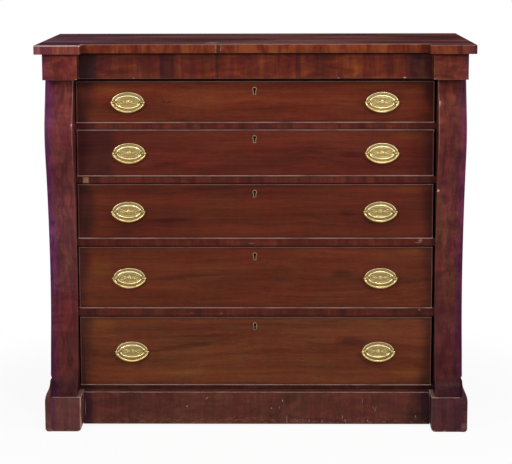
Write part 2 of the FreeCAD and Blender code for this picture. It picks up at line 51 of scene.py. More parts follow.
SHELLAC_TINT = (1, 0.62, 0.55)
RED_CAST = (1.03, 0.92, 0.96)
BROWN_CAST = (0.97, 1.08, 1.02)
PORE_COLOUR = (0.012, 0.006, 0.004)
PORE_DEPTH = 0.45
TONE_SPREAD = 0.24
CASE_TONES = [(0.03, 0.009, 0.007), (0.07, 0.02, 0.012), (0.12, 0.034, 0.018)]
SOOT = (0.45, 0.42, 0.42)
SOOT_HEIGHT = 0.2
MILLIMETRE = 0.001


def join(node, inputs):
    """Sets each named or numbered socket of a node to a constant, or links a value to it."""
    for key, value in inputs.items():
        socket = node.inputs[key]
        if isinstance(value, Value):
            node.id_data.links.new(value.socket, socket)
        elif socket.type == "RGBA":
            socket.default_value = (*value, 1)
        else:
            socket.default_value = value
    return node


def add(kind, inputs, tree=None, **settings):
    """A shader node in the tree that is given, or else in that of the values joined to it."""
    tree = tree or next(value.tree for value in inputs.values() if isinstance(value, Value))
    made = tree.nodes.new("ShaderNode" + kind)
    for name, value in settings.items():
        setattr(made, name, value)
    return join(made, inputs)


def out(kind, inputs, output=0, **settings):
    """One output of a new shader node, as a value."""
    return Value(add(kind, inputs, **settings).outputs[output])


class Value:
    """What a shader node works out: a number, place, colour or shader. Reckoning with it adds
    further nodes, and a comparison gives 1 where it holds and 0 elsewhere."""

    def __init__(self, socket):
        self.socket = socket
        self.tree = socket.id_data

    def math(self, operation, *others, kind="Math"):
        """Result of a Math node on this value and others."""
        return out(kind, dict(enumerate((self, *others))), operation=operation)

    __add__ = partialmethod(math, "ADD")
    __sub__ = partialmethod(math, "SUBTRACT")
    __mul__ = partialmethod(math, "MULTIPLY")
    __truediv__ = partialmethod(math, "DIVIDE")
    __gt__ = partialmethod(math, "GREATER_THAN")
    __lt__ = partialmethod(math, "LESS_THAN")
    __abs__ = partialmethod(math, "ABSOLUTE")
    maximum = partialmethod(math, "MAXIMUM")
    # A place moved by a step, or multiplied by a stretch, along each axis.
    moved = partialmethod(math, "ADD", kind="VectorMath")
    stretched = partialmethod(math, "MULTIPLY", kind="VectorMath")

    def parts(self):
        """X, Y and Z of a place."""
        return [Value(socket) for socket in add("SeparateXYZ", {0: self}).outputs]

    def ease(self, low, high, start=0, end=1):
        """Smooth step from start to end while the value goes from low to high."""
        return out("MapRange", {0: self, 1: low, 2: high, 3: start, 4: end}, interpolation_type="SMOOTHSTEP")

    def random(self):
        """A random number from 0 to 1 for each whole step of the value."""
        return out("TexWhiteNoise", {"W": self.math("FLOOR")}, noise_dimensions="1D")

    def noise(self, waves, detail=2, distortion=0):
        """Noise from 0 to 1 at a place; waves is how many it has to the metre along each axis."""
        return out("TexNoise", {"Vector": self.stretched(np.full(3, waves, float)), "Scale": 1,
                                "Detail": detail, "Distortion": distortion}, "Fac")


def mix(share, first, second, blend="MIX"):
    """Colour between the first and the second, by a share from 0 to 1. A Mix node takes colours in
    its sockets 6 and 7, and numbers in 2 and 3."""
    return out("Mix", {0: share, 6: first, 7: second}, 2, data_type="RGBA", blend_type=blend)


def tones(value, colours):
    """Colour ramp from a dark over a middle to a light colour."""
    ramp = add("ValToRGB", {0: value})
    stops = ramp.color_ramp.elements
    stops.new(0.5)
    for stop, colour in zip(stops, colours):
        stop.color = (*colour, 1)
    return Value(ramp.outputs[0])


def make_group(name, work, inputs, outputs):
    """Shader group whose outputs a function works out from its inputs, each given by name. Sockets
    are numbers, apart from a position and a colour."""
    tree = bpy.data.node_groups.new(name, "ShaderNodeTree")
    for side, labels in (("INPUT", inputs), ("OUTPUT", outputs)):
        for label in labels:
            kind = {"Position": "Vector", "Colour": "Color"}.get(label, "Float")
            tree.interface.new_socket(name=label, in_out=side, socket_type="NodeSocket" + kind)
    start = tree.nodes.new("NodeGroupInput")
    results = work(*[Value(start.outputs[label]) for label in inputs])
    join(tree.nodes.new("NodeGroupOutput"), dict(zip(outputs, results)))
    return tree


def use_group(group, *inputs):
    """All outputs of a shader group for its inputs in their order."""
    return [Value(socket) for socket in add("Group", dict(enumerate(inputs)), node_tree=group).outputs]


def grain(place, seed, figure):
    """Mahogany grain. Broad and narrow streaks are noise drawn out along X; the mottle is noise
    drawn out across it; the cast is a slow noise that turns the wood from red to brown; pores are
    where a very fine drawn-out noise is high."""
    place = place.moved(seed.stretched((3.1, 1.7, 2.3)))
    sway = place.noise((2.6, 7, 7)) - 0.5
    swayed = place.moved(sway.stretched((0, 0.05, 0.05)))
    streaks = swayed.noise((1.8, 26, 26), 3) * 0.6 + swayed.noise((4, 120, 120), 4) * 0.4
    mottle = place.noise((34, 11, 11), 3, 1.2)
    tone = out("Mix", {0: figure, 2: streaks, 3: mottle})
    cast = place.noise((7, 13, 13), 3, 0.6).ease(0.36, 0.64)
    fibre = swayed.noise((24, 850, 850), 3)
    pores = swayed.noise((85, 2100, 2100), 1).ease(0.58, 0.7)
    return tone, cast, fibre, pores, fibre * 0.5 - pores


wood_grain = make_group("wood_grain", grain, ["Position", "Seed", "Figure"],
                        ["Tone", "Cast", "Fibre", "Pores", "Height"])


def new_material(name):
    """A material, and the place of each point in the object's own coordinates."""
    material = bpy.data.materials.new(name)
    material.use_nodes = True
    return material, out("TexCoord", {}, "Object", tree=material.node_tree)


def finish(material, colour, roughness, height, depth, constants):
    """Joins a material's shader to its values; depth is how deep its relief is, in metres."""
    relief = out("Bump", {"Strength": 1, "Distance": depth, "Height": height}, "Normal")
    join(material.node_tree.nodes["Principled BSDF"],
         {"Base Color": colour, "Roughness": roughness, "Normal": relief, **constants})
    return material


class Wood:
    """A wood finish being built up: each section may change its colour, roughness and height
    before it is laid on. The grain runs along the named axis, and along X behind cross_from."""

    def __init__(self, name, along, seed, figure, colours, contrast=1, cast=1, cross_from=None):
        self.material, self.place = new_material(name)
        self.x, self.y, self.z = self.place.parts()
        self.beside = abs(self.x)
        self.noise = self.place.noise
        position = self.turned(along)
        if cross_from is not None:
            position = mix(self.y > cross_from, position, self.turned("x"))
        tone, turn, fibre, pores, self.height = use_group(wood_grain, position, seed, figure)
        spread = TONE_SPREAD / contrast
        colour = tones(tone.ease(0.5 - spread, 0.5 + spread), colours)
        colour = mix(cast, colour, mix(turn, RED_CAST, BROWN_CAST), "MULTIPLY")
        colour = mix(1, colour, fibre.ease(0.3, 0.7, 0.84, 1.14), "MULTIPLY")
        self.colour = mix(pores * PORE_DEPTH, colour, PORE_COLOUR)
        self.roughness = self.noise(9, 4).ease(0.3, 0.7, 0.32, 0.46)
        self.waver = tone * 4 + (fibre * 1.6 - 2.8)

    def turned(self, along):
        """Place with the named axis first, so that the grain runs along it."""
        order = sorted("xyz", key=lambda axis: axis != along)
        return out("CombineXYZ", {index: getattr(self, axis) for index, axis in enumerate(order)})

    def stain(self, mask, colour):
        """Lays a colour over the wood where the mask is 1."""
        self.colour = mix(mask, self.colour, colour)

    def shade(self, mask, amount):
        """Multiplies the colour by an amount where the mask is 1."""
        self.colour = mix(mask, self.colour, amount, "MULTIPLY")

    def shades(self, rows):
        """Shades by rows of a coordinate, where on it the shade starts and is full, and its amount."""
        for axis, start, full, amount in rows:
            self.shade(getattr(self, axis).ease(start, full), amount)

    def dull(self, mask, roughness):
        """Takes the polish off where the mask is 1."""
        self.roughness = out("Mix", {0: mask, 2: self.roughness, 3: roughness})

    def oval(self, up, mark, fade=0.6):
        """1 inside a tilted oval on a face and 0 outside it: the sum of the squares of the
        distances along its two axes, each over its half size, with a wavering edge that fades. up
        is the face's other coordinate beside X. A mark is the oval's middle and half sizes in
        millimetres, and its tilt."""
        x, level, half_x, half_up = np.array(mark[:4]) * MILLIMETRE
        tilt = mark[4]
        aside = self.x - x
        rise = up - level
        along = aside * (cos(tilt) / half_x) + rise * (sin(tilt) / half_x)
        across = rise * (cos(tilt) / half_up) - aside * (sin(tilt) / half_up)
        return (along * along + across * across + self.waver).ease(1 + fade, 1 - fade)

    def marks(self, up, marks, share, colour):
        """Lays a share of a colour over each of several ovals."""
        for mark in marks:
            self.stain(self.oval(up, mark) * share, colour)

    def lay(self, sheen=0.1, depth=0.0002):
        """The finished material; sheen is the polish's specular level."""
        return finish(self.material, self.colour, self.roughness, self.height, depth,
                      {"Specular IOR Level": sheen, "Specular Tint": SHELLAC_TINT})


def clothe(name, material):
    """Gives every face of a CAD node one material."""
    node = nodes[name]
    node.data.materials.clear()
    node.data.materials.append(material)


for seed, (name, along) in enumerate((("corner_posts", "z"), ("frame_rails", "y"),
                                      ("end_panel_left", "z"), ("end_panel_right", "z")), 1):
    wood = Wood(name + "_mahogany", along, seed, 0.15, CASE_TONES)
    soot = wood.z.ease(SOOT_HEIGHT, 0) * wood.noise(12, 4)
    wood.shade(soot, SOOT)
    wood.dull(soot, 0.6)
    clothe(name, wood.lay(0.12))


# Back boards, runners, stops and glue blocks
# Plain softwood that nobody sees from the front: sawn boards nailed upright into the rear
# posts, and strips glued and nailed inside the case. They are bare, darkened by age and dust.

PINE_TONES = [(0.165, 0.082, 0.04), (0.265, 0.142, 0.074), (0.37, 0.215, 0.122)]
BACK_BOARD_COUNT = 5
# How far out from a back board's middle its two rows of nails are, as a share of its width.
NAIL_SHARE = 0.3
NAIL_INSET = 0.035
NAIL_RADIUS = 0.0032
IRON = (0.03, 0.02, 0.017)
RUST = (0.42, 0.3, 0.26)


def bare_wood(name, along, seed):
    """Unpolished softwood with brown stains and a rough surface."""
    wood = Wood(name, along, seed, 0.08, PINE_TONES, cast=0.3)
    wood.shade(wood.noise(5, 5, 0.6).ease(0.48, 0.72), (0.62, 0.54, 0.48))
    wood.dull(1, 0.78)
    return wood


def back_wood():
    """Boards of different tones with saw marks across them, dark joints, and a row of iron nails
    through each board into the rail behind its top and its bottom, found by folding X and Z."""
    wood = bare_wood("back_pine", "z", 5)
    low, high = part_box("back_boards")
    width = (high.x - low.x) / BACK_BOARD_COUNT
    across = (wood.x - low.x) / width
    wood.shade(across.random(), (0.66, 0.6, 0.56))
    from_middle = abs(across.math("FRACT") - 0.5)
    wood.shade(from_middle.ease(0.484, 0.497), (0.3, 0.26, 0.24))
    middle = (low.z + high.z) / 2
    aside = (from_middle - NAIL_SHARE) * width
    rise = abs(wood.z - middle) - (high.z - middle - NAIL_INSET)
    away = (aside * aside + rise * rise).math("SQRT")
    wood.shade((away * (wood.waver + 1.6)).ease(6 * NAIL_RADIUS, NAIL_RADIUS), RUST)
    head = away.ease(NAIL_RADIUS + 0.0003, NAIL_RADIUS - 0.0003)
    wood.stain(head, IRON)
    wood.dull(head, 0.55)
    wood.height = wood.noise((9, 1, 330)) * 0.5 + (head * 3 + wood.height)
    return wood.lay(0.2, 0.0005)


clothe("back_boards", back_wood())
for seed, (name, along) in enumerate((("drawer_runners", "y"), ("drawer_stops", "x"),
                                      ("glue_blocks", "x")), 6):
    clothe(name, bare_wood(name + "_pine", along, seed).lay(0.2, 0.0004))


# Rails between the drawers
# Softwood rails faced with short upright pieces of mahogany and tenoned into the posts. Their
# faces are darker lower down, and carry a painted shadow of the pilasters at the ends. A square of
# pale wood patches one of them.

RAIL_TONES = [(0.046, 0.0084, 0.0064), (0.091, 0.0166, 0.01), (0.142, 0.0284, 0.0145)]
# Darker lower down, and at the ends painted shadow of the pilasters.
RAIL_SHADES = [("z", 0.86, 0.62, (0.84, 0.86, 0.86)), ("z", 0.22, 0.15, (0.62, 0.86, 0.98)),
               ("beside", 0.42, 0.5, (0.6, 0.66, 0.9))]
FACE_DEPTH = 0.003
# Drawers whose top edge has a black line of painted shadow above it on the rail, and its height.
SHADOW_LINES = {1: 0.011, 3: 0.0042, 4: 0.0042, 5: 0.0042}
RAIL_CHIPS = [(461, 530, 5.5, 3.6, 0.2), (456, 524, 10, 1.1, 0), (460, 331, 2.4, 2, 0),
              (-182, 322, 2.2, 1.1, 0), (-98, 320, 4, 1.1, 0.1), (-12, 522, 7.5, 1.1, 0)]
BARE_CHIP = (0.26, 0.135, 0.085)

# Middle and half size of the patch in X and Z; it stands proud and goes in by these depths.
PATCH_CENTRE = np.array((-0.475, 0.701))
PATCH_HALF_SIZE = np.array((0.00925, 0.0088))
PATCH_PROUD = 0.0002
PATCH_SINK = 0.004
PATCH_ARRIS = 0.0002
RAIL_HALF_HEIGHT = 0.01
PATCH_TONES = [(0.17, 0.078, 0.034), (0.25, 0.12, 0.055), (0.33, 0.175, 0.085)]


def rail_wood(face):
    """Banded mahogany facing in front, bare softwood behind it."""
    wood = Wood("rail_mahogany", "z", 9, 0.3, RAIL_TONES)
    bands = wood.noise((48, 0, 3), 4).ease(0.4, 0.62)
    wood.shade(bands * wood.z.ease(0.45, 0.85, 0.45, 1), (0.6, 0.62, 0.84))
    wood.shades(RAIL_SHADES)
    # Painted shadow: a black line on the rail just above each of these drawers.
    for number, height in SHADOW_LINES.items():
        over = wood.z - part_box("drawer_%d_front" % number)[1].z
        wood.shade(over.ease(height, height - 0.0014) * (over > 0), (0.16, 0.18, 0.26))
    wood.marks(wood.z, RAIL_CHIPS, 0.6, BARE_CHIP)
    behind = wood.y > face + FACE_DEPTH
    wood.stain(behind, (0.17, 0.1, 0.05))
    wood.dull(behind, 0.75)
    return wood.lay()


def skin(grid):
    """Closed surface over a grid of loops: quads between the loops and a face on each end."""
    rows, columns = grid.shape[:2]
    number = np.arange(rows * columns).reshape(rows, columns)
    after = np.roll(number, -1, 1)
    quads = np.stack([number[:-1], after[:-1], after[1:], number[1:]], -1)
    faces = [*quads.reshape(-1, 4).tolist(), number[0, ::-1].tolist(), number[-1].tolist()]
    return grid.reshape(-1, 3), faces


def link(data):
    """An object of the scene, named as its data."""
    made = bpy.data.objects.new(data.name, data)
    bpy.context.scene.collection.objects.link(made)
    return made


def make_piece(name, surfaces, material, slot, stands_for=None, body="carcase", **measures):
    """Object from closed surfaces, in place. Each surface is turned so that the volume it encloses,
    a sum of signed pyramids, is positive. measures are numbers for every point, by name."""
    faces = []
    start = 0
    for points, own_faces in surfaces:
        volume = 0
        for face in own_faces:
            corner = points[face]
            volume += np.cross(corner[1:-1] - corner[0], corner[2:] - corner[0]).sum(0) @ corner[0]
        order = 1 if volume > 0 else -1
        faces += [[start + corner for corner in face[::order]] for face in own_faces]
        start += len(points)
    mesh = bpy.data.meshes.new(name)
    mesh.from_pydata(np.concatenate([points for points, own_faces in surfaces]), [], faces)
    mesh.shade_smooth()
    mesh.set_sharp_from_angle(angle=radians(40))
    for label, values in measures.items():
        mesh.attributes.new(label, "FLOAT", "POINT").data.foreach_set("value", values.ravel())
    mesh.materials.append(material)
    piece = link(mesh)
    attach(piece, body)
    if stands_for:
        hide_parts(stands_for)


def slab(low, high, radius):
    """Box with rounded arrises. Its outline in plan, and the rise over that outline at the ends,
    are quarter circles: each loop is the box drawn in by radius less what the circle gives."""
    turn = np.linspace(0, pi / 2, 4)
    inset = radius * (1 - np.sin(turn))
    rise = radius * (1 - np.cos(turn))
    corner = np.repeat([[1, 1], [-1, 1], [-1, -1], [1, -1]], len(turn), axis=0)
    angle = (np.arange(4)[:, None] * pi / 2 + turn).ravel()
    ring = np.stack([np.cos(angle), np.sin(angle)], -1)
    flat = (high + low)[:2] / 2 + corner * ((high - low)[:2] / 2 - radius)
    heights = np.concatenate([low[2] + rise, (high[2] - rise)[::-1]])
    return skin(np.array([np.column_stack([flat + ring * (radius - draw), np.full(len(flat), height)])
                          for height, draw in zip(heights, [*inset, *inset[::-1]])]))


def patch_wood():
    """Pale boxwood-coloured square, greyed round its edge by old glue."""
    wood = Wood("patch_wood", "x", 10, 0.2, PATCH_TONES)
    across = abs((wood.x - PATCH_CENTRE[0]) / PATCH_HALF_SIZE[0])
    up = abs((wood.z - PATCH_CENTRE[1]) / RAIL_HALF_HEIGHT)
    rim = across.maximum(up) + wood.noise(160, 3) * 0.5
    wood.shade(rim.ease(0.8, 1.15), (0.42, 0.36, 0.4))
    return wood.lay()


rail_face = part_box("divider_rails")[0].y
clothe("divider_rails", rail_wood(rail_face))
low = np.insert(PATCH_CENTRE - PATCH_HALF_SIZE, 1, rail_face - PATCH_PROUD)
high = np.insert(PATCH_CENTRE + PATCH_HALF_SIZE, 1, rail_face + PATCH_SINK)
make_piece("rail_patch", [slab(low, high, PATCH_ARRIS)], patch_wood(), "rail_veneer")


# Drawer boxes
# Sides and back are thin softwood boards dovetailed to the front and to each other, with a
# bottom slid into grooves. They are bare and clean, browned along the top edges by handling.

DRAWER_COUNT = 5
BACK_BOARD_DEPTH = 0.0124
HANDLED_HEIGHT = 0.02
BOX_TONES = [(0.23, 0.12, 0.058), (0.345, 0.2, 0.105), (0.46, 0.29, 0.168)]


def box_wood(name, number):
    """Grain runs back along the sides and bottom, and across in the back board."""
    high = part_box(name)[1]
    behind = high.y - BACK_BOARD_DEPTH
    wood = Wood(name + "_pine", "y", 20 + number, 0.06, BOX_TONES, cast=0.3, cross_from=behind)
    handled = wood.z.ease(high.z - HANDLED_HEIGHT, high.z) * wood.noise((14, 14, 30), 3)
    wood.shade(handled, (0.62, 0.52, 0.42))
    wood.dull(1, 0.72)
    return wood.lay(0.2, 0.0004)


def clothe_drawers(part, wood_of):
    """Gives one part of every drawer a wood of its own."""
    for number in range(1, DRAWER_COUNT + 1):
        name = "drawer_%d_%s" % (number, part)
        clothe(name, wood_of(name, number))


clothe_drawers("box", box_wood)


# Drawer fronts
# Solid mahogany boards with the grain along them, polished in front and bare behind. Each was cut
# from its own part of the plank; the ends beside the pilasters carry a painted shadow of them.

# How far in from its right end each front carries the painted shadow of the pilaster.
RIGHT_SHADOW_REACH = 0.022
POLISH_DEPTH = 0.0004
# From the top drawer down: its plank's dark, middle and light colour, how far in from its left end
# the painted shadow of the pilaster reaches, and the ovals of its dark figure and of its lighter patches.
FRONTS = [
    ([(0.045, 0.0082, 0.0042), (0.096, 0.0165, 0.0072), (0.152, 0.031, 0.011)], 0.046,
     [(-255, 921, 5, 4, 0), (-239, 919, 6, 4, 0), (-230, 868, 63, 4, 0.02)],
     [(-408, 952, 43, 15, 0), (430, 954, 33, 14, 0), (320, 963, 90, 6, 0.03)]),
    ([(0.042, 0.007, 0.0046), (0.088, 0.0145, 0.008), (0.128, 0.0245, 0.0112)], 0.11,
     [(-247, 746.5, 48, 6, 0.08), (267, 773, 30, 8, 0)], [(420, 825, 40, 10, 0)]),
    ([(0.036, 0.0068, 0.0042), (0.077, 0.0138, 0.0068), (0.112, 0.0226, 0.0098)], 0.038,
     [(-233, 589, 62, 5.5, 0.05), (253, 606, 18, 8, 0)], [(-425, 565, 35, 16, 0), (425, 672, 40, 9, 0)]),
    ([(0.041, 0.0092, 0.0046), (0.088, 0.0182, 0.0076), (0.128, 0.03, 0.0112)], 0.029,
     [(-219, 424.5, 76, 6.5, 0.07), (242, 436, 26, 10, 0)], [(435, 498, 38, 9, 0), (-440, 455, 30, 28, 0)]),
    ([(0.049, 0.0128, 0.006), (0.105, 0.0262, 0.0102), (0.152, 0.0425, 0.0152)], 0.032,
     [(-219, 222, 80, 7, 0.12), (263, 242, 35, 12, 0)],
     [(-435, 285, 34, 18, 0), (430, 148, 48, 13, 0), (-150, 150, 220, 7, 0.02)]),
]


def front_wood(name, number):
    """Polished face with a painted shadow of the pilaster at each end; bare wood on the edges and behind."""
    colours, left_shadow_reach, dark_figure, light_patches = FRONTS[number - 1]
    low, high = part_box(name)
    wood = Wood(name + "_mahogany", "x", 30 + 1.7 * number, 0.1, colours, contrast=0.8)
    # Painted shadow of the pilasters at both ends, with a wandering edge.
    wandering = wood.x + (wood.noise((9, 9, 16), 3) - 0.5) * 0.06
    left_end = low.x + left_shadow_reach
    wood.shade(wandering.ease(left_end + 0.016, left_end - 0.02), (0.5, 0.58, 0.94))
    right_end = high.x - RIGHT_SHADOW_REACH
    wood.shade(wandering.ease(right_end - 0.02, right_end + 0.016), (0.48, 0.58, 0.88))
    for marks, amount in ((dark_figure, (0.6, 0.56, 0.74)), (light_patches, (1.22, 1.46, 1.02))):
        for mark in marks:
            wood.shade(wood.oval(wood.z, mark, 1.3), amount)
    half_height = (high.z - low.z) / 2
    rim = abs(wood.z - (low.z + half_height)).ease(half_height - 0.014, half_height - 0.002)
    wood.shade(rim, (0.8, 0.78, 0.85))
    bare = wood.y > low.y + POLISH_DEPTH
    wood.stain(bare, (0.115, 0.045, 0.022))
    wood.dull(bare, 0.7)
    return wood.lay(0.1, 0.00018)


clothe_drawers("front", front_wood)


# Cockbeads
# Strips of mahogany with a rounded nose, glued and pinned into a rabbet round each drawer
# front. The nose is painted pale as a highlight, palest on the bottom strips.

BEAD_TONES = [(0.035, 0.01, 0.008), (0.066, 0.02, 0.015), (0.105, 0.034, 0.026)]
# Painted highlight on the side strips, against 1 for the bottom strip.
SIDE_HIGHLIGHT = 0.15
# Painted highlight on the top strip of each drawer's bead, against 1 for the bottom strip.
TOP_HIGHLIGHT = [0.4, 0.75, 0.25, 0.25, 0.25]


def bead_wood(name, number):
    """Dark strips whose nose is painted pale as a highlight, broken in patches. The bottom strips,
    which face up into the light, are the palest."""
    low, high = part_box(name)
    wood = Wood(name + "_mahogany", "x", 40 + number, 0.1, BEAD_TONES)
    nose = wood.y.ease(low.y + 0.0017, low.y + 0.0004)
    patches = wood.noise(16, 4).ease(0.25, 0.6, 0.25, 1)
    bottom = wood.z.ease(low.z + 0.0045, low.z + 0.0065, 1, SIDE_HIGHLIGHT)
    top = wood.z.ease(high.z - 0.0065, high.z - 0.0045, 0, TOP_HIGHLIGHT[number - 1] - SIDE_HIGHLIGHT)
    # The pale nose is a painted highlight.
    pale_mask = nose * patches * (bottom + top)
    wood.stain(pale_mask * 0.8, (0.3, 0.18, 0.15))
    wood.dull(pale_mask, 0.42)
    return wood.lay(0.2, 0.0001)


clothe_drawers("cockbead", bead_wood)


# Locks
# A brass lock is let into the back of each front and screwed there; its bolt slides up into
# the rail above. A cast brass escutcheon with a thick rim lines the keyhole.

PALE_BRASS = (0.55, 0.43, 0.2)
DEEP_BRASS = (0.55, 0.39, 0.13)
OLD_BRASS = (0.08, 0.058, 0.018)
# Brass of the polished tops of the relief, pale also as a painted highlight.
POLISH_AND_HIGHLIGHT_BRASS = (0.88, 0.72, 0.46)
WHITE = (1, 1, 1)
RIM_TARNISH = (0.62, 0.5, 0.84)
# Painted shade inside the keyhole.
KEYHOLE_SHADE = (0.02, 0.016, 0.02)
KEYHOLE_REACH = 0.008


def patina(place, cavity, age):
    """Lacquered brass. Patina, and painted shadow round the pulls' posts, lie where the
    cavity value is high, and patina also in drifting blotches of noise; where the value
    is below 0 the brass is polished and painted pale as a highlight; fine scratches are noise drawn
    out along X."""
    blotches = place.noise(70, 5, 0.5).ease(0.45, 0.75)
    spots = place.noise(600).ease(0.66, 0.76)
    darkening = cavity.maximum(blotches.maximum(spots) * age)
    scratches = place.noise((180, 2500, 2500))
    warm = mix(place.noise(25), PALE_BRASS, DEEP_BRASS)
    colour = mix(darkening, mix(cavity * -1, warm, POLISH_AND_HIGHLIGHT_BRASS), OLD_BRASS)
    return colour, darkening.ease(0, 1, 0.26, 0.5) + scratches * 0.1, scratches


aged_brass = make_group("aged_brass", patina, ["Position", "Patina and shadow", "Age"],
                        ["Colour", "Roughness", "Height"])


def measured(place, name):
    """A number of the mesh, by its name, in the tree of a place."""
    return out("Attribute", {}, "Fac", tree=place.tree, attribute_name=name)


def brass(name, age, darkening=None, extra_tint=None):
    """Metal with the aged surface. darkening names the mesh's numbers that hold its patina and painted
    shadow; extra_tint makes a further colour to multiply by."""
    material, place = new_material(name)
    cavity = measured(place, darkening) if darkening else 0
    colour, roughness, height = use_group(aged_brass, place, cavity, age)
    if extra_tint:
        colour = mix(1, colour, extra_tint(place), "MULTIPLY")
    return finish(material, colour, roughness, height, 0.00006, {"Metallic": 1})


def lock_tarnish_and_shade(place):
    """Dull rim in front, painted shade inside the keyhole, and clean metal beside and behind it."""
    low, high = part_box("drawer_1_front")
    lock_low, lock_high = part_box("drawer_1_lock")
    across, depth = place.parts()[:2]
    rim = mix(depth.ease(low.y + 0.0002, low.y + 0.001), RIM_TARNISH, KEYHOLE_SHADE)
    beside = abs(across - (lock_low.x + lock_high.x) / 2).ease(KEYHOLE_REACH, KEYHOLE_REACH + 0.002)
    behind = depth.ease(high.y - 0.002, high.y - 0.0005)
    return mix(beside.maximum(behind), rim, WHITE)


lock_metal = brass("lock_brass", 0.9, extra_tint=lock_tarnish_and_shade)
bolt_metal = brass("lock_bolt_brass", 0.6)
for number in range(1, DRAWER_COUNT + 1):
    clothe("drawer_%d_lock" % number, lock_metal)
    clothe("drawer_%d_lock_bolt" % number, bolt_metal)


# Pulls
# A stamped oval brass plate has a rolled rim, a raised ring and a small flower between two
# sprays in its sunk field. Two turned posts go through plate and drawer front to nuts behind,
# and hold the pointed ends of a cast bail that hangs along the plate's lower edge.

POST_SPACING = 0.076
PIVOT_STANDOFF = 0.009
PLATE_HALF_WIDTH = 0.0455
PLATE_HALF_HEIGHT = 0.028
PLATE_RINGS = 88
PLATE_SPOKES = 192
PLATE_EDGE = 0.0003
GROOVE_HEIGHT = 0.0009
FIELD_HEIGHT = 0.0008
# Middle and half width of the rolled rim, as shares of the way from the centre to the edge.
RIM_MIDDLE = 0.952
RIM_HALF_WIDTH = 0.048
RIM_HEIGHT = 0.0024
RING_HALF_SIZE = (0.0344, 0.017)
RING_HALF_WIDTH = 0.0028
RING_HEIGHT = 0.0028
BEAD_LINE = 0.0048
BEAD_HALF_WIDTH = 0.0007
BEAD_HEIGHT = 0.0005
LEAF_STEM = 0.0048
LEAF_HALF_SIZE = (0.0098, 0.0012)
LEAF_HEIGHT = 0.001
LEAF_TILTS = (-0.3, 0, 0.3)
FLOWER_RADIUS = 0.0066
FLOWER_HEIGHT = 0.0014
BOSS_RADIUS = 0.0019
BOSS_HEIGHT = 0.0026
# How far round each post the plate is darkened as painted shadow of the post.
POST_SHADE = 0.0044
# How dark the posts and nuts are made.
FITTING_DARKENING = 0.45
# Pulls above this height on the right are brightened: a painted reflection of the right lamp.
BRIGHT_PULL_LEVEL = 0.7
BRIGHT_PULL = (1.17, 1.18, 1.2)


def smooth(value, low, high):
    """Smooth step from 0 to 1 while a value goes from low to high, for whole arrays."""
    share = np.clip((value - low) / (high - low), 0, 1)
    return share * share * (3 - 2 * share)


def dome(share):
    """Height of a half circle, from 1 where the share is 0 down to 0 where it is 1 or more."""
    return np.sqrt(np.clip(1 - share ** 2, 0, None))


def from_ring(x, z):
    """Distance of a point from the ring's middle line, negative inside it: how far the point's
    share of the ellipse is from 1, times its distance from the centre over that share."""
    share = np.hypot(x / RING_HALF_SIZE[0], z / RING_HALF_SIZE[1])
    return (share - 1) * np.hypot(x, z) / share


def plate_relief(x, z, ring):
    """Height of the stamped face over the drawer. Rim, ring and the bead line inside it are half
    circles over the way out and over the distance from the ring; the leaves, the flower, whose
    petals are a wave round the centre, and its boss are domes over the sunk field."""
    way_out = np.hypot(x / PLATE_HALF_WIDTH, z / PLATE_HALF_HEIGHT)
    height = (GROOVE_HEIGHT + (RIM_HEIGHT - GROOVE_HEIGHT) * dome((way_out - RIM_MIDDLE) / RIM_HALF_WIDTH)
              + (RING_HEIGHT - GROOVE_HEIGHT) * dome(ring / RING_HALF_WIDTH)
              + (FIELD_HEIGHT - GROOVE_HEIGHT) * (1 - smooth(ring, -0.004, -0.003))
              + BEAD_HEIGHT * dome((ring + BEAD_LINE) / BEAD_HALF_WIDTH))
    radius = np.hypot(x, z)
    petal = FLOWER_RADIUS * (0.62 + 0.38 * np.abs(np.cos(4 * np.arctan2(z, x))))
    domes = [FLOWER_HEIGHT * dome(radius / petal), BOSS_HEIGHT * dome(radius / BOSS_RADIUS)]
    from_stem = np.abs(x) - LEAF_STEM
    for tilt in LEAF_TILTS:
        along = from_stem * cos(tilt) + z * sin(tilt) - LEAF_HALF_SIZE[0]
        across = z * cos(tilt) - from_stem * sin(tilt)
        domes.append(LEAF_HEIGHT * dome(np.hypot(along / LEAF_HALF_SIZE[0], across / LEAF_HALF_SIZE[1])))
    return np.maximum(height, FIELD_HEIGHT + np.max(domes, 0))


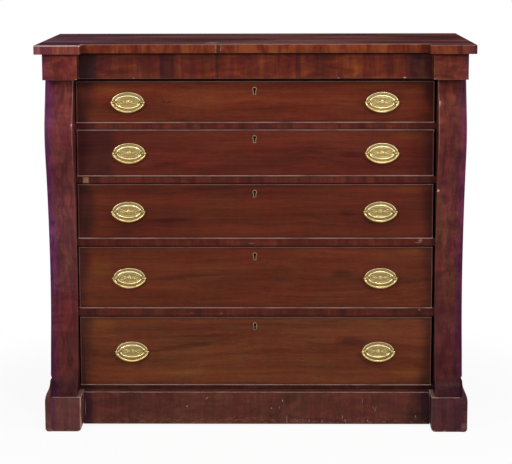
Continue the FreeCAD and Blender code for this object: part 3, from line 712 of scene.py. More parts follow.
def plate_surface(centre, face):
    """Oval plate: loops that grow evenly from the centre of the face to the rim, carry the relief
    forward, and return behind it to the centre. Patina lies where the relief is lowest and beside
    the ring, and painted shadow round each post; the tops of rim and ring, and less so of leaves
    and flower, are polished by rubbing and painted pale as a highlight."""
    reach = np.linspace(0.004, 1, PLATE_RINGS)[:, None]
    angle = np.linspace(0, 2 * pi, PLATE_SPOKES, endpoint=False)
    x = PLATE_HALF_WIDTH * reach * np.cos(angle)
    z = PLATE_HALF_HEIGHT * reach * np.sin(angle)
    ring = from_ring(x, z)
    height = plate_relief(x, z, ring)
    height[-1] = PLATE_EDGE
    front = np.stack([centre[0] + x, face - height, centre[1] + z], -1)
    behind = front[[-1, 0]]
    behind[:, :, 1] = face
    around = sum(np.roll(height, step, axis) for axis in (0, 1) for step in (3, -3)) / 4
    upward = smooth(z, -0.6 * PLATE_HALF_HEIGHT, 0.4 * PLATE_HALF_HEIGHT)
    low_dirt = np.maximum(0.44 + 0.18 * upward, 0.58 * smooth(-ring, 0.004, 0.005))
    from_post = np.hypot(np.abs(x) - POST_SPACING / 2, z)
    # Patina in the hollows; the last row is painted shadow round each post.
    cavity = np.max([
        np.clip((around - height) / 0.0003, 0, 1) * 0.95,
        low_dirt * smooth(-height, -0.0014, -0.0009),
        0.26 * smooth(-ring, 0.0044, 0.005) * smooth(np.hypot(x, z), 0.003, 0.006),
        0.95 * np.exp(-((np.abs(ring) - RING_HALF_WIDTH - 0.0004) / 0.0009) ** 2),
        1 - smooth(from_post, POST_SHADE, 1.6 * POST_SHADE)], 0)
    # Tops of rim and ring, and less so of leaves and flower, polished and painted pale as a highlight.
    rubbed_and_highlight = (0.08 + 0.66 * smooth(ring, -0.004, -0.0026)) * smooth(height, 0.0014, 0.0022)
    cavity = np.where(cavity < 0.1, -rubbed_and_highlight, cavity)
    return skin(np.concatenate([front, behind])), [cavity.ravel(), np.zeros(2 * PLATE_SPOKES)]


def turned_about(profile, origin, axis, steps):
    """Surface of revolution: each (along, radius) pair of the profile goes once round the axis."""
    angle = np.linspace(0, 2 * pi, steps, endpoint=False)
    along, radius = np.array(profile).T[..., None]
    parts = [radius * np.cos(angle), radius * np.sin(angle)]
    parts.insert("xyz".index(axis), along + 0 * angle)
    return skin(np.stack(parts, -1) + np.array(origin))


# Profiles as (along, radius) from the drawer's face, and the bail's end from the pull's middle.
BALL_RADIUS = 0.0035
ball_turn = np.linspace(pi * 0.985, pi * 0.3, 9)
POST_HEAD = [*zip(BALL_RADIUS * np.cos(ball_turn) - PIVOT_STANDOFF, BALL_RADIUS * np.sin(ball_turn)),
             (-0.0062, 0.0024), (-0.004, 0.0024), (-0.0032, 0.0034), (-0.0026, 0.0042),
             (-0.0016, 0.0046), (-0.0006, 0.0046), (0.0004, 0.003)]
SHANK = [(0.0004, 0.002), (0.0008, 0.0024), (0.029, 0.0024), (0.0297, 0.0017)]
NUT = [(0.0221, 0.0027), (0.0221, 0.005), (0.0226, 0.0055), (0.0249, 0.0055), (0.0254, 0.005),
       (0.0254, 0.0027)]
BAIL_TIP = [(0.0364, 0.0008), (0.0368, 0.0013), (0.0408, 0.0014), (0.0418, 0.0022), (0.0432, 0.0031),
            (0.0448, 0.0033), (0.0462, 0.0028), (0.0472, 0.0018), (0.0481, 0.0012), (0.0488, 0.0005)]
BAIL_HALF_SPAN = 0.045
BAIL_DROP = 0.0263
BAIL_CORNER = 0.014
BAIL_END_RADIUS = 0.0017
BAIL_SWELL = 0.0014
BAIL_STEPS = 72
BAIL_SPOKES = 20


def bail_line(share):
    """Centre line of the drop: two quarter-like corner arcs joined by one wide arc under them,
    all tangent. share runs from 0 at the left end to 1 at the right; returns x and z."""
    reach = BAIL_HALF_SPAN - BAIL_CORNER
    wide = (reach ** 2 + BAIL_DROP ** 2 - BAIL_CORNER ** 2) / (2 * (BAIL_DROP - BAIL_CORNER))
    sweep = np.arctan2(reach, wide - BAIL_DROP)
    run = (2 * share - 1) * (wide * sweep + BAIL_CORNER * (pi / 2 - sweep))
    along = np.abs(run)
    bend = np.minimum(along / wide, sweep)
    corner = sweep + np.clip(along - wide * sweep, 0, None) / BAIL_CORNER
    on_corner = along > wide * sweep
    x = np.where(on_corner, reach + BAIL_CORNER * np.sin(corner), wide * np.sin(bend))
    z = np.where(on_corner, -BAIL_CORNER * np.cos(corner), wide - BAIL_DROP - wide * np.cos(bend))
    return np.sign(run) * x, z


def bail_surfaces(centre, pivot_y):
    """Bar carried along the drop, thickest in the middle, with a turned and pointed end beyond
    each post and a pin into it."""
    share = np.linspace(0, 1, BAIL_STEPS)
    x, z = bail_line(share)
    slope = np.stack([np.gradient(x), np.gradient(z)], -1)
    slope /= np.linalg.norm(slope, axis=1)[:, None]
    radius = BAIL_END_RADIUS + BAIL_SWELL * np.sin(pi * share) ** 0.8
    radius[[0, -1]] *= 0.4
    angle = np.linspace(0, 2 * pi, BAIL_SPOKES, endpoint=False)
    aside = radius[:, None] * np.cos(angle)
    grid = np.stack([centre[0] + x[:, None] - slope[:, 1:] * aside,
                     pivot_y + 0.92 * radius[:, None] * np.sin(angle),
                     centre[1] + z[:, None] + slope[:, :1] * aside], -1)
    tips = [turned_about(np.array(BAIL_TIP) * (side, 1), (centre[0], pivot_y, centre[1]), "x", 20)
            for side in (-1, 1)]
    return [skin(grid), *tips]


def right_pulls_painted_light(place):
    """The pulls up on the right are made brighter than the others: a painted reflection of the right lamp."""
    across, depth, level = place.parts()
    return mix((across > 0) * (level > BRIGHT_PULL_LEVEL), WHITE, BRIGHT_PULL)


plate_metal = brass("pull_plate_brass", 0.55, "cavity", right_pulls_painted_light)
bail_metal = brass("bail_brass", 0.5, extra_tint=right_pulls_painted_light)


def hang_pull(number, side):
    """Plate, posts and nuts on the drawer, and the bail on its own body."""
    low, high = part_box("drawer_%d_front" % number)
    node = "drawer_%d_bail_%s" % (number, side)
    bail_low, bail_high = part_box(node)
    centre = ((bail_low.x + bail_high.x) / 2, (low.z + high.z) / 2)
    plate, darkening = plate_surface(centre, low.y)
    fittings = [turned_about(profile, (centre[0] + end * POST_SPACING / 2, low.y, centre[1]), "y", 24)
                for end in (-1, 1) for profile in (POST_HEAD, SHANK, NUT)]
    darkening += [np.full(len(points), FITTING_DARKENING) for points, faces in fittings]
    make_piece("drawer_%d_plate_%s" % (number, side), [plate, *fittings], plate_metal, "pull_brass",
               "drawer_%d_pull_plates" % number, "drawer_%d" % number, cavity=np.concatenate(darkening))
    make_piece("drawer_%d_drop_bail_%s" % (number, side), bail_surfaces(centre, low.y - PIVOT_STANDOFF),
               bail_metal, "pull_brass", node, node)


for number in range(1, DRAWER_COUNT + 1):
    for side in ("left", "right"):
        hang_pull(number, side)


# Pilasters
# Softwood cores sawn to a long S in front, veneered with mottled mahogany and glued to the
# posts. The outer foot of each is scribed over the plinth; the inner arris is chipped, and pale
# where polish is gone and as a painted highlight.

SIDES = {"left": -1, "right": 1}
# Front curve: height over the foot block and how far it stands forward of the post.
PILASTER_CURVE = [
    (0.887, 0.033), (0.8274, 0.0517), (0.745, 0.0745), (0.64, 0.0567), (0.5014, 0.0284),
    (0.325, 0.013), (0.2015, 0.0203), (0.0957, 0.0388), (0.031, 0.056), (0, 0.0895),
]
PILASTER_ROWS = 150
ARRIS_RADIUS = 0.0016
SHARPEST_RADIUS = 0.0002
NEAR_ENDS = np.array([0, 0.003, 0.009, 0.025])
# How far in from its arris each of the two rings on a moulding's end face is.
END_RINGS = (0.012, 0.004)
# Pale arris colour, where polish is gone and as a painted highlight.
ARRIS_WEAR_AND_HIGHLIGHT = (0.28, 0.16, 0.135)
CHIPPED_WOOD = (0.5, 0.3, 0.19)
# Each veneer's three colours, then the shades of its middle, its low part and its outer edge.
PILASTER_LOOKS = {
    "left": ([(0.064, 0.0118, 0.016), (0.122, 0.023, 0.0268), (0.194, 0.0395, 0.039)],
             (1.14, 1.42, 1.22), (0.98, 1, 0.8), (0.9, 0.72, 2.65)),
    "right": ([(0.054, 0.0104, 0.0118), (0.112, 0.0222, 0.02), (0.182, 0.0415, 0.029)],
              (0.98, 1.06, 0.97), (0.86, 0.88, 0.92), (0.83, 0.62, 2.1)),
}
# Chips: centre, radius and push.
PILASTER_CHIPS = {
    "left": [((-0.504, -0.243, 0.862), 0.006, (-0.0012, 0.0014, 0)),
             ((-0.51, -0.19, 0.338), 0.0045, (0, 0.0006, 0))],
    "right": [((0.5045, -0.233, 0.921), 0.0072, (0.0016, 0.0018, 0)),
              ((0.5035, -0.216, 0.676), 0.0055, (0.0012, 0.0014, 0))],
}


def curve_through(points, rows):
    """Cubic curve through points, with the distance between them as its parameter. The slope at
    each point makes the bends of its two spans meet; the end slopes are those of a parabola
    through the three end points."""
    points = np.array(points)
    step = np.linalg.norm(np.diff(points, axis=0), axis=1)
    chord = np.diff(points, axis=0) / step[:, None]
    before = step[:-1]
    after = step[1:]
    left = np.diag([1, *2 * (before + after), 1]) + np.diag([*after, 0], -1) + np.diag([0, *before], 1)
    share = (step[[0, -1]] / (step[[0, -1]] + step[[1, -2]]))[:, None]
    first, last = chord[[0, -1]] + share * (chord[[0, -1]] - chord[[1, -2]])
    inner = 3 * (after[:, None] * chord[:-1] + before[:, None] * chord[1:])
    slope = np.linalg.solve(left, [first, *inner, last])
    knots = np.concatenate([[0], np.cumsum(step)])
    place = np.linspace(0, knots[-1], rows)
    span = np.clip(np.searchsorted(knots, place, "right") - 1, 0, len(step) - 1)
    share = ((place - knots[span]) / step[span])[:, None]
    size = step[span][:, None]
    return (points[span] * (1 + 2 * share) * (1 - share) ** 2
            + points[span + 1] * share ** 2 * (3 - 2 * share)
            + slope[span] * size * share * (1 - share) ** 2
            - slope[span + 1] * size * share ** 2 * (1 - share))


def run_places(length, spacing):
    """Places along a run from 0 to its length, closer together towards both ends."""
    near = NEAR_ENDS[NEAR_ENDS < 0.4 * length]
    evenly = np.linspace(near[-1], length - near[-1], 2 + int(length / spacing))
    return np.unique(np.round(np.concatenate([near, evenly, length - near]), 7))


def outline_at(corners, radii, spacing, inset):
    """Closed outline drawn in by an inset: every side moves in by it, each corner is mitred and
    then rounded by what is left of its radius. Places are reckoned as complex numbers, x + iy.
    Returns points and distances from the corners."""
    corners = np.array(corners) @ [1, 1j]
    sides = np.roll(corners, -1) - corners
    along = sides / np.abs(sides)
    before = np.roll(along, 1)
    turn = np.angle(along / before)
    slant = np.tan(np.abs(turn) / 2)
    moved = corners + 1j * inset * (along + before) / (1 + np.cos(turn))
    arm = np.sign(turn) * np.clip(radii - np.sign(turn) * inset, SHARPEST_RADIUS, None)
    cut = np.abs(arm) * slant
    points = []
    gaps = []
    for index in range(len(corners)):
        after = (index + 1) % len(corners)
        bend = np.exp(1j * np.linspace(0, turn[index], 6))
        start = moved[index] + along[index] * cut[index]
        end = moved[after] - along[index] * cut[after]
        length = abs(sides[index]) - radii[index] * slant[index] - radii[after] * slant[after]
        places = run_places(length, spacing)[1:-1]
        points += [moved[index] - before[index] * (cut[index] + 1j * arm[index] * (bend - 1)),
                   start + (end - start) * (places / length)]
        gaps += [np.zeros(6), np.minimum(places, length - places)]
    points = np.concatenate(points)
    return np.stack([points.real, points.imag], -1), np.concatenate(gaps)


def moulded(corners, radii, low, high, rounding, spacing, axis="z"):
    """Outline carried along an axis, its end arrises rounded to a quarter circle, with two rings
    on each end face. Returns the grid of loops and each point's distance from an arris."""
    length = high - low
    flat = length - 2 * rounding
    # For each loop: how far along, how far drawn in, and how far from the end's arris.
    ends = [(0, rounding + draw, draw) for draw in END_RINGS]
    ends += [(rounding * (1 - cos(bend)), rounding * (1 - sin(bend)), 0)
             for bend in np.linspace(0, pi / 2, 5)]
    rows = [(rounding + place, 0, min(place, flat - place)) for place in run_places(flat, spacing)[1:-1]]
    rows = ends + rows + [(length - place, inset, gap) for place, inset, gap in ends[::-1]]
    loops = []
    gaps = []
    for place, inset, end_gap in rows:
        outline, gap = outline_at(corners, radii, spacing, inset)
        loop = np.column_stack([outline, np.full(len(outline), low + place)])
        loops.append(np.roll(loop, 1, 1) if axis == "x" else loop)
        gaps.append(np.minimum(gap if inset <= rounding else length, end_gap) + 0 * gap)
    return np.array(loops), np.array(gaps)


def chipped(grid, gaps, chips):
    """Presses small hollows into a grid. Each chip is a centre, a radius, and a push: the points
    move by the push times a bell curve of their distance, and count as bare wood there."""
    for centre, radius, push in chips:
        bell = np.exp(-((grid - np.array(centre)) ** 2).sum(-1) / radius ** 2)
        grid = grid + bell[..., None] * np.array(push)
        gaps = gaps - 0.02 * smooth(bell, 0.45, 0.75)
    return grid, gaps


def make_worn_piece(name, node, surface, material, slot, chips=()):
    """Piece in place of a node, over a grid of loops with each point's distance from an arris."""
    grid, gaps = chipped(*surface, chips)
    make_piece(name, [skin(grid)], material, slot, node, edge=gaps)


def wear_and_highlight(place, edge, reach):
    """Share of an arris that is pale where polish is gone and as a painted highlight: 1 close to it,
    fading to 0 at a reach that noise makes wander.
    """
    wander = place.noise(38, 5).ease(0.34, 0.72, 0.1, 2)
    return [(edge / (reach * wander)).ease(1, 0.3)]


arris_wear_and_highlight = make_group("arris_wear_and_highlight", wear_and_highlight, ["Position", "Edge", "Reach"], ["Wear"])


def rub_and_highlight_arrises(wood, reach, amount, colour):
    """Pales and dulls a piece's arrises, where polish is gone and as a painted highlight, and bares
    the wood of its chips, where the distance from an arris is below 0."""
    edge = measured(wood.place, "edge")
    pale_mask = use_group(arris_wear_and_highlight, wood.place, edge, reach)[0] * amount
    wood.stain(pale_mask, colour)
    wood.dull(pale_mask, 0.5)
    wood.stain(edge.ease(-0.004, -0.012, 0, 0.85), CHIPPED_WOOD)


def pilaster_surface(side):
    """Loops across the pilaster at heights along its curve: back corners, inner side, inner
    arris, front, outer arris, outer side. side is 1 on the right and -1 on the left."""
    low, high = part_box("pilaster_right")
    plinth_low, plinth_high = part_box("side_plinth_right")
    post_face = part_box("corner_posts")[0].y
    line = curve_through(PILASTER_CURVE, PILASTER_ROWS)[::-1]
    level = low.z + line[:, 0]
    scribed = 1 - smooth(level, plinth_high.z - 0.004, plinth_high.z + 0.002)
    bend = np.linspace(0, pi / 2, 7)
    width = plinth_low.x - low.x - 2 * ARRIS_RADIUS
    across = run_places(width, 0.01)[1:-1]
    depth = np.array([1, 0.6, 0.25, 0.08])
    loops = []
    gaps = []
    for z, forward, outer in zip(level, line[:, 1], high.x - (high.x - plinth_low.x) * scribed):
        front = post_face - forward
        flat = front + ARRIS_RADIUS
        back = (post_face - flat) * depth
        span = low.x + ARRIS_RADIUS + across / width * (outer - low.x - 2 * ARRIS_RADIUS)
        x = np.concatenate([np.full(4, low.x), low.x + ARRIS_RADIUS * (1 - np.cos(bend)), span,
                            outer - ARRIS_RADIUS * (1 - np.sin(bend)), np.full(4, outer)])
        y = np.concatenate([flat + back, flat - ARRIS_RADIUS * np.sin(bend), np.full(len(span), front),
                            flat - ARRIS_RADIUS * np.cos(bend), flat + back[::-1]])
        loops.append(np.column_stack([side * x, y, np.full(len(x), z)]))
        gaps.append(np.concatenate([back, 0 * bend, np.minimum(across, across[::-1]), 0 * bend, back[::-1]]))
    return np.array(loops), np.array(gaps)


def pilaster_veneer(name, seed, colours, middle, low_part, edge):
    """Blotched veneer: orange-brown towards the top inside, red and brown clouds below, purple
    towards the outer edge, and darker towards the foot, darkest on its forward sweep as painted shade."""
    wood = Wood("pilaster_veneer_" + name, "z", seed, 0.4, colours, contrast=0.9)
    wood.shade(wood.noise((17, 14, 8), 4, 1).ease(0.42, 0.6), (0.94, 1.14, 0.8))
    clouds = wood.place.moved((3, 5, 7)).noise((40, 20, 13), 5, 1.4)
    wood.shade(clouds.ease(0.4, 0.64), (0.62, 0.58, 0.82))
    wood.shade(wood.z.ease(0.74, 0.92) * wood.beside.ease(0.562, 0.525), (1.2, 1.12, 0.84))
    # Darker lower down; darker still on the foot's upward-facing sweep: painted shade.
    wood.shades([("z", 0.62, 0.15, (0.7, 0.66, 0.72)), ("z", 0.165, 0.12, (0.5, 0.52, 0.66))])
    wood.shade(wood.z.ease(0.74, 0.64) * wood.z.ease(0.34, 0.44), middle)
    wood.shade(wood.z.ease(0.44, 0.34), low_part)
    wood.shade(wood.beside.ease(0.545, 0.578) * wood.beside.ease(0.5788, 0.5778), edge)
    rub_and_highlight_arrises(wood, 0.0008, wood.z.ease(0.66, 0.9, 0.05, 0.55), ARRIS_WEAR_AND_HIGHLIGHT)
    return wood.lay(0.1, 0.00018)


for name, side in SIDES.items():
    make_worn_piece("veneered_pilaster_" + name, "pilaster_" + name, pilaster_surface(side),
                    pilaster_veneer(name, 50 + side, *PILASTER_LOOKS[name]), "figured_veneer",
                    PILASTER_CHIPS[name])


# Frieze and frieze blocks
# A softwood board between two projecting blocks, glued to the top rail, all faced with
# mahogany veneer whose grain stands upright. The lower edge has lost a few splinters.

FRIEZE_TONES = [(0.042, 0.0076, 0.0062), (0.108, 0.0178, 0.0088), (0.195, 0.043, 0.0145)]
BLOCK_TONES = [(0.06, 0.012, 0.011), (0.136, 0.0248, 0.0142), (0.228, 0.052, 0.0215)]
BLOCK_SHADE = {"left": (1.18, 1.14, 1.28), "right": (0.88, 0.99, 0.9)}
BLOCK_RADII = [0.0012, 0.0012, 0.0004, 0.0004, 0.0004, 0.0004]
# Dark strips of the frieze's veneer: middle in X and half width.
DARK_STRIPS = [(-0.243, 0.019), (-0.106, 0.003), (0.118, 0.006)]
FRIEZE_CHIPS = [(410, 989, 3.4, 2.2, 0), (228, 988.5, 2.6, 1.4, 0), (-335, 988.5, 2.6, 1.4, 0)]


def upright_veneer(name, seed, colours, sheet_width, figure):
    """Veneer with upright grain, laid in sheets side by side that differ in tone."""
    wood = Wood(name, "z", seed, figure, colours, contrast=0.9)
    wood.shade((wood.x / sheet_width + seed).random(), (0.8, 0.82, 0.92))
    return wood


def shade_under_top(wood):
    """Painted shadow under the top board's overhang."""
    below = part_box("top_board")[0].z
    wood.shade(wood.z.ease(below - 0.0085, below - 0.0035), (0.34, 0.42, 0.75))


def frieze_veneer():
    """Upright veneer with dark strips, painted shadows of the blocks beside them and painted shadow
    under the top; its arrises are pale where polish is gone and as a painted highlight.
    """
    wood = upright_veneer("frieze_veneer", 61, FRIEZE_TONES, 0.132, 0.45)
    gold = wood.noise((26, 26, 6), 4, 0.5).ease(0.5, 0.66)
    wood.shade(gold, (1.14, 1.4, 0.9))
    plum = wood.place.moved((4, 2, 9)).noise((24, 24, 7), 4, 0.5).ease(0.48, 0.62)
    wood.shade(plum, (0.78, 0.7, 1.12))
    for middle, half_width in DARK_STRIPS:
        wood.shade(abs(wood.x - middle).ease(half_width + 0.004, half_width - 0.002), (0.46, 0.54, 0.9))
    # Painted shadows of the blocks on the frieze beside them.
    wood.shades([("x", -0.432, -0.441, (0.28, 0.45, 0.96)), ("x", 0.408, 0.43, (0.41, 0.49, 1.02))])
    shade_under_top(wood)
    wood.marks(wood.z, FRIEZE_CHIPS, 0.6, CHIPPED_WOOD)
    rub_and_highlight_arrises(wood, 0.0005, 0.3, ARRIS_WEAR_AND_HIGHLIGHT)
    return wood.lay(0.1, 0.00015)


def block_veneer(name, seed):
    """Veneer with a curl of grain, purple towards the outer end, with painted shadow under the top."""
    wood = upright_veneer("frieze_block_veneer_" + name, seed, BLOCK_TONES, 0.5, 0.7)
    wood.shade(1, BLOCK_SHADE[name])
    shade_under_top(wood)
    wood.shade(wood.noise((26, 20, 22), 2, 1.6).ease(0.42, 0.6), (0.74, 0.72, 0.86))
    wood.shade(wood.beside.ease(0.552, 0.579) * wood.beside.ease(0.5798, 0.5788), (0.88, 0.78, 1.9))
    rub_and_highlight_arrises(wood, 0.0005, 0.25, ARRIS_WEAR_AND_HIGHLIGHT)
    return wood.lay(0.1, 0.00015)


def long_board(node, front_low, front_high, spacing):
    """Board carried along X: its section in depth and height, with the radii of its front arrises."""
    low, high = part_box(node)
    corners = [(low.y, low.z), (high.y, low.z), (high.y, high.z), (low.y, high.z)]
    return moulded(corners, [front_low, 0.0004, 0.0004, front_high], low.x, high.x, 0.0003, spacing, "x")


def notched_block(node, side, radii, rounding, spacing):
    """Block carried up: its plan is notched round the rail beside the opening, and mirrored on
    the left. radii go round the plan on the right, from the front inner corner outwards."""
    low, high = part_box(node)
    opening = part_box("pilaster_right")[0].x
    inner, outer = sorted((abs(low.x), abs(high.x)))
    plan = [(side * x, y) for x, y in ((inner, low.y), (outer, low.y), (outer, high.y), (opening, high.y),
                                       (opening, rail_face), (inner, rail_face))]
    return moulded(plan[::side], radii[::side], low.z, high.z, rounding, spacing)


make_worn_piece("veneered_frieze", "frieze_center", long_board("frieze_center", 0.001, 0.0004, 0.02),
                frieze_veneer(), "crossband_veneer")
for name, side in SIDES.items():
    node = "frieze_block_" + name
    low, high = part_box(node)
    corner = (side * min(abs(low.x), abs(high.x)), low.y, low.z)
    make_worn_piece("veneered_" + node, node, notched_block(node, side, BLOCK_RADII, 0.0008, 0.012),
                    block_veneer(name, 65 + side), "crossband_veneer",
                    [(corner, 0.0045, (side * 0.0014, 0.0014, 0.0014))])


# Skirt
# A veneered board between the feet, just clear of the floor. Brooms and shoes have scuffed
# its lower part pale and left short scratches; the lower arris is splintered.

SKIRT_TONES = [(0.042, 0.013, 0.0105), (0.088, 0.0235, 0.016), (0.135, 0.04, 0.024)]
SCRATCHES = [
    (300, 74.2, 0.4, 7.5, 0), (337, 50, 0.6, 8, -0.3), (331, 54.5, 0.4, 4.5, 0.35), (315, 17, 1.3, 2, 0),
    (244, 26, 0.6, 6.5, -0.15), (252, 16, 0.7, 5, 0.2), (86.5, 21, 0.6, 11, 0), (43, 52.3, 1, 2, 0),
    (66.5, 54.5, 0.6, 3.5, 0.1), (74.5, 74.2, 1.2, 3, 0.3), (116, 15, 0.9, 3, 0.2), (132, 18, 0.5, 5, 0),
    (150, 16, 1, 3, -0.2), (187, 13, 0.5, 4.5, 0), (451, 29, 0.8, 3, -0.2), (-139, 82, 0.8, 4.5, -0.9),
    (-196, 58, 1.4, 2.2, 0.5), (-484, 56, 0.6, 26, 0),
]


def skirt_veneer():
    """Upright veneer with scuffs and scratches, darker towards the feet as painted shade."""
    wood = upright_veneer("skirt_veneer", 72, SKIRT_TONES, 0.215, 0.45)
    # Darker towards the ends beside the feet, painted shade; then a narrow purple band near each end.
    wood.shades([("beside", 0.42, 0.488, (0.66, 0.64, 0.82)), ("beside", 0.462, 0.47, (0.62, 0.66, 1.05))])
    scuffs = wood.z.ease(0.04, 0.008) * wood.noise((75, 75, 260), 5).ease(0.52, 0.66)
    wood.stain(scuffs * 0.45, (0.19, 0.1, 0.06))
    wood.dull(scuffs, 0.6)
    wood.marks(wood.z, SCRATCHES, 0.6, (0.42, 0.31, 0.27))
    rub_and_highlight_arrises(wood, 0.001, wood.z.ease(0.05, 0.09, 0.25, 0.7), (0.27, 0.175, 0.14))
    return wood.lay()


make_worn_piece("veneered_skirt", "base_skirt", long_board("base_skirt", 0.0022, 0.001, 0.016),
                skirt_veneer(), "crossband_veneer")


# Feet and side plinths
# Solid blocks under the pilasters and a moulded board along each side, whose end grain shows
# beside the foot. Inner arrises and lower corners are worn round, and pale where they are bare.

FOOT_RADII = [0.0036, 0.0006, 0.0004, 0.0004, 0.0004, 0.0004]
FOOT_TOE = 0.011
TOE_SPREAD = 0.034
FOOT_TONES = {
    "left": [(0.052, 0.0165, 0.0165), (0.098, 0.032, 0.029), (0.152, 0.054, 0.045)],
    "right": [(0.028, 0.0085, 0.012), (0.056, 0.0165, 0.02), (0.098, 0.03, 0.029)],
}
PALE_ARRIS = {"left": (0.46, 0.3, 0.165), "right": (0.06, 0.025, 0.028)}
# Pale upright arris of each foot below its top: polish gone and a painted highlight.
UPRIGHT_ARRIS_PALE = {"left": 0.25, "right": 0.05}


def foot_wood(name, seed):
    """Worn polish, greyed on the ledge beside the pilaster, pale along the inner arris."""
    wood = Wood("foot_mahogany_" + name, "z", seed, 0.25, FOOT_TONES[name], contrast=0.8)
    low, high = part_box("foot_block_right")
    pale_mask = wood.noise(48, 4)
    ledge = wood.z.ease(high.z - 0.0008, high.z - 0.0001) * pale_mask.ease(0.3, 0.62, 0.15, 0.8)
    wood.stain(ledge, (0.2, 0.125, 0.095))
    ragged = wood.beside + wood.noise((90, 90, 60), 4) * 0.0022
    arris = ragged.ease(low.x + 0.0044, low.x + 0.003) * wood.y.ease(low.y + 0.0034, low.y + 0.0012)
    broken = wood.noise((60, 60, 22), 4).ease(0.34, 0.56, 0.15, 1)
    wood.stain(arris * broken * 0.85, PALE_ARRIS[name])
    foot = wood.z.ease(0.008, 0.002) * pale_mask.ease(0.5, 0.62)
    wood.stain(foot * 0.7, (0.34, 0.19, 0.115))
    wood.shade(wood.beside.ease(high.x - 0.024, high.x - 0.004), (0.8, 0.7, 1.15))
    upper = wood.z.ease(high.z - 0.004, high.z - 0.0016, UPRIGHT_ARRIS_PALE[name], 0.75)
    rub_and_highlight_arrises(wood, 0.0012, upper * wood.beside.ease(high.x - 0.01, high.x - 0.004, 1, 0), (0.3, 0.2, 0.17))
    return wood.lay()


def plinth_wood(name, seed):
    """Board with its grain along the side; the front shows end grain."""
    wood = Wood("plinth_mahogany_" + name, "y", seed, 0.15, FOOT_TONES[name])
    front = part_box("side_plinth_right")[0].y
    end_grain = wood.y.ease(front + 0.0012, front + 0.0004)
    wood.shade(end_grain, (0.86, 0.84, 1))
    wood.shade(wood.y.ease(front + 0.0004, front + 0.0012), (1.1, 1.1, 0.74))
    wood.dull(end_grain, 0.6)
    scuffs = wood.z.ease(0.045, 0) * wood.noise((30, 14, 50), 5).ease(0.42, 0.66)
    wood.stain(scuffs * 0.5, (0.2, 0.115, 0.075))
    return wood.lay()


for name, side in SIDES.items():
    node = "foot_block_" + name
    low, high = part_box(node)
    grid, gaps = notched_block(node, side, FOOT_RADII, 0.0014, 0.01)
    inner = min(abs(low.x), abs(high.x))
    # The inner lower corner is worn round: a quarter circle that fades out across the foot.
    fall = np.clip(FOOT_TOE - grid[..., 2], 0, FOOT_TOE)
    toe = FOOT_TOE - np.sqrt(FOOT_TOE ** 2 - fall ** 2)
    grid[..., 0] += side * toe * (1 - smooth(np.abs(grid[..., 0]), inner + 0.004, inner + TOE_SPREAD))
    make_worn_piece("worn_" + node, node, (grid, gaps), foot_wood(name, 80 + side), "base_mahogany")
    clothe("side_plinth_" + name, plinth_wood(name, 85 + side))


# Top board
# A softwood board that steps forward over the frieze blocks, veneered on top with the grain
# along it and round the edge with short upright grain. Its grey-purple top is a painted
# reflection of the white surround, and its polish has no specular level.

# The top's colours hold a painted reflection of the white surround.
TOP_TONES = [(0.064, 0.022, 0.0245), (0.114, 0.04, 0.039), (0.172, 0.07, 0.067)]
EDGE_TONES = [(0.079, 0.0142, 0.0095), (0.122, 0.0236, 0.0103), (0.173, 0.043, 0.0143)]
TOP_OVERHANG = 0.02
TOP_RETURN = 0.012
TOP_ARRIS = 0.0017
TOP_RADII = [0.003, 0.003, 0.0012, 0.0012, 0.003, 0.003, 0.002, 0.002]
SPLICE_X = -0.101
SPLICE_HALF_WIDTH = 0.0065
TOP_SCRATCHES = [
    (-124, -198, 20, 2.6, 0.12), (-115, -189, 22, 2.8, 0.05), (-128, -180, 19, 3, 0.1),
    (-119, -170, 23, 2.7, 0.16), (-122, -159, 19, 2.8, 0.08), (-116, -148, 16, 2.6, 0.14),
    (210, -120, 13, 2.2, -0.3),
]


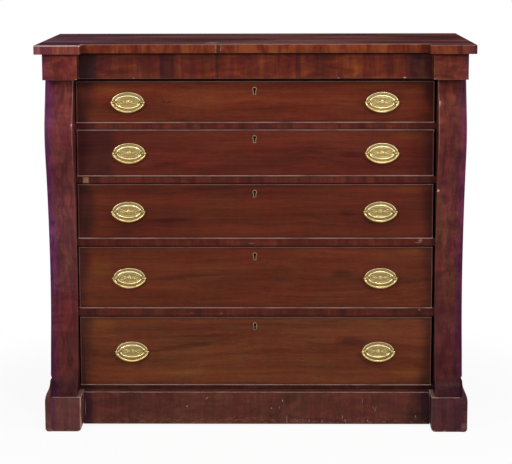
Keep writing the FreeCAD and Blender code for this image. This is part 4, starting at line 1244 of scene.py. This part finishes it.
def top_veneer(low, high, frieze_face):
    """Long grain on top and underneath, short upright grain round the edge."""
    wood = Wood("top_veneer", "x", 91, 0.12, TOP_TONES)
    bands = wood.noise((2.6, 16, 1), 4, 0.4)
    wood.shade(bands.ease(0.5, 0.38), (0.66, 0.62, 0.72))
    wood.stain(bands.ease(0.5, 0.62, 0, 0.6), (0.215, 0.1, 0.1))
    streaks = wood.noise((1.6, 34, 1), 3, 0.3)
    wood.stain(streaks.ease(0.6, 0.7, 0, 0.45), (0.3, 0.17, 0.165))
    wood.shade(streaks.ease(0.42, 0.34), (0.8, 0.78, 0.84))
    wood.shades([("x", -0.3, -0.55, (0.94, 1, 1.34)), ("x", -0.1, 0.45, (1, 0.89, 0.82))])
    wood.marks(wood.y, TOP_SCRATCHES, 0.7, (0.46, 0.36, 0.33))
    rim = wood.z < high.z - 0.0008
    spread = wood.noise((26, 26, 9), 4, 0.8)
    fine = wood.noise((160, 160, 20), 3)
    wood.stain(rim, tones((spread * 0.75 + fine * 0.25).ease(0.36, 0.62), EDGE_TONES))
    ahead = rim * wood.y.ease(low.y + 0.0045, low.y + 0.002)
    wood.shade(ahead * wood.beside.ease(high.x - 0.06, high.x - 0.01), (0.74, 0.78, 1.6))
    wood.shade(ahead * wood.x.ease(-0.462, -0.48), (1.52, 1.95, 2.7))
    wood.shade(ahead * wood.x.ease(0.462, 0.48), (0.86, 0.86, 1.12))
    front = rim * (wood.y < frieze_face - TOP_OVERHANG / 2)
    off = abs(wood.x - SPLICE_X)
    wood.shade(off.ease(SPLICE_HALF_WIDTH + 0.0006, SPLICE_HALF_WIDTH) * front, (0.45, 0.5, 0.85))
    seam = abs(off - SPLICE_HALF_WIDTH).ease(0.0022, 0.0008) * front
    wood.stain(seam * wood.noise(150).ease(0.4, 0.62, 0.05, 0.45), (0.36, 0.22, 0.16))
    upper = wood.z.ease(high.z - 0.004, high.z - 0.002)
    rub_and_highlight_arrises(wood, 0.002, upper * wood.x.ease(-0.465, -0.485, 0.16, 0.95), (0.42, 0.29, 0.26))
    wood.stain(wood.z < low.z + 0.0004, (0.12, 0.065, 0.035))
    # No specular level: the polish's reflection is painted into the colour.
    return wood.lay(0, 0.00015)


low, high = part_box("top_board")
frieze_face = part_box("frieze_center")[0].y
middle = frieze_face - TOP_OVERHANG
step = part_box("frieze_block_right")[0].x - TOP_RETURN
plan = [(low.x, low.y), (-step, low.y), (-step, middle), (step, middle), (step, low.y),
        (high.x, low.y), (high.x, high.y), (low.x, high.y)]
make_worn_piece("veneered_top", "top_board", moulded(plan, TOP_RADII, low.z, high.z, TOP_ARRIS, 0.03),
                top_veneer(low, high, frieze_face), "top_mahogany",
                [((-step, low.y, high.z), 0.006, (-0.0008, 0.001, -0.0012))])


# Floor, lights and camera
# A plain pale floor that runs out into a white surround, a large soft lamp on each side in
# front and an even surround, and a long lens a little above the chest's top.

FLOOR_HALF_SIZE = 14
FLOOR_CALM_RADIUS = 0.7
FLOOR_WHITE_RADIUS = 1.3
FLOOR_WHITENESS = 0.92
SURROUND_STRENGTH = 0.24
# Square lamps: name, place, height of the point it is turned towards, size and power.
LAMPS = [
    ("left_lamp", (-1.9, -2.8, 1.9), 0.6, 1, 48), ("right_lamp", (2.9, -2.3, 1.8), 0.6, 0.8, 52),
    ("key_lamp", (0.8, -2.6, 3.4), 0.6, 0.4, 44), ("top_lamp", (0, -1, 3.6), 0.9, 1.6, 18),
]
CAMERA_PLACE = (0.06, -4.8, 1.37)
CAMERA_PITCH = radians(8.53)
CAMERA_YAW = radians(-0.737)
CAMERA_ROLL = radians(-0.14)


def seen_directly(tree):
    """1 for rays of the camera, of mirrors and of glass, which see the plain white surround."""
    path = add("LightPath", {}, tree).outputs
    camera, mirror, glass = [Value(path["Is %s Ray" % kind]) for kind in ("Camera", "Glossy", "Transmission")]
    return camera.maximum(mirror).maximum(glass)


floor_mesh = bpy.data.meshes.new("floor")
size = FLOOR_HALF_SIZE
floor_mesh.from_pydata([(-size, -size, 0), (size, -size, 0), (size, size, 0), (-size, size, 0)], [],
                       [(0, 1, 2, 3)])
floor = link(floor_mesh)
floor_paint, place = new_material("floor_paint")
floor_mesh.materials.append(floor_paint)
tree = floor_paint.node_tree
tree.nodes.remove(tree.nodes["Principled BSDF"])
away = out("VectorMath", {0: place}, "Value", operation="LENGTH")
whiteness = away.ease(FLOOR_CALM_RADIUS, FLOOR_WHITE_RADIUS, FLOOR_WHITENESS, 1) * seen_directly(tree)
matt = out("BsdfDiffuse", {"Color": (0.8, 0.8, 0.8)}, tree=tree)
glow = out("Emission", {"Color": WHITE, "Strength": 1}, tree=tree)
join(tree.nodes["Material Output"], {"Surface": out("MixShader", {0: whiteness, 1: matt, 2: glow})})

world = bpy.data.worlds.new("surround")
world.use_nodes = True
bpy.context.scene.world = world
tree = world.node_tree
strength = seen_directly(tree).ease(0, 1, SURROUND_STRENGTH, 1)
join(tree.nodes["Background"], {"Color": WHITE, "Strength": strength})

for name, place, height, size, power in LAMPS:
    lamp = link(bpy.data.lights.new(name, "AREA"))
    lamp.data.size = size
    lamp.data.energy = power
    lamp.location = place
    lamp.rotation_euler = (Vector((0, 0, height)) - Vector(place)).to_track_quat("-Z", "Y").to_euler()

camera = link(bpy.data.cameras.new("camera"))
camera.data.lens = 117.6
camera.data.sensor_width = 36
camera.data.shift_y = -0.085
camera.data.clip_end = 100
camera.matrix_world = (Matrix.Translation(CAMERA_PLACE) @ Matrix.Rotation(-CAMERA_YAW, 4, "Z")
                       @ Matrix.Rotation(pi / 2 - CAMERA_PITCH, 4, "X")
                       @ Matrix.Rotation(CAMERA_ROLL, 4, "Z"))
bpy.context.scene.camera = camera
bpy.context.scene.view_settings.view_transform = "Standard"
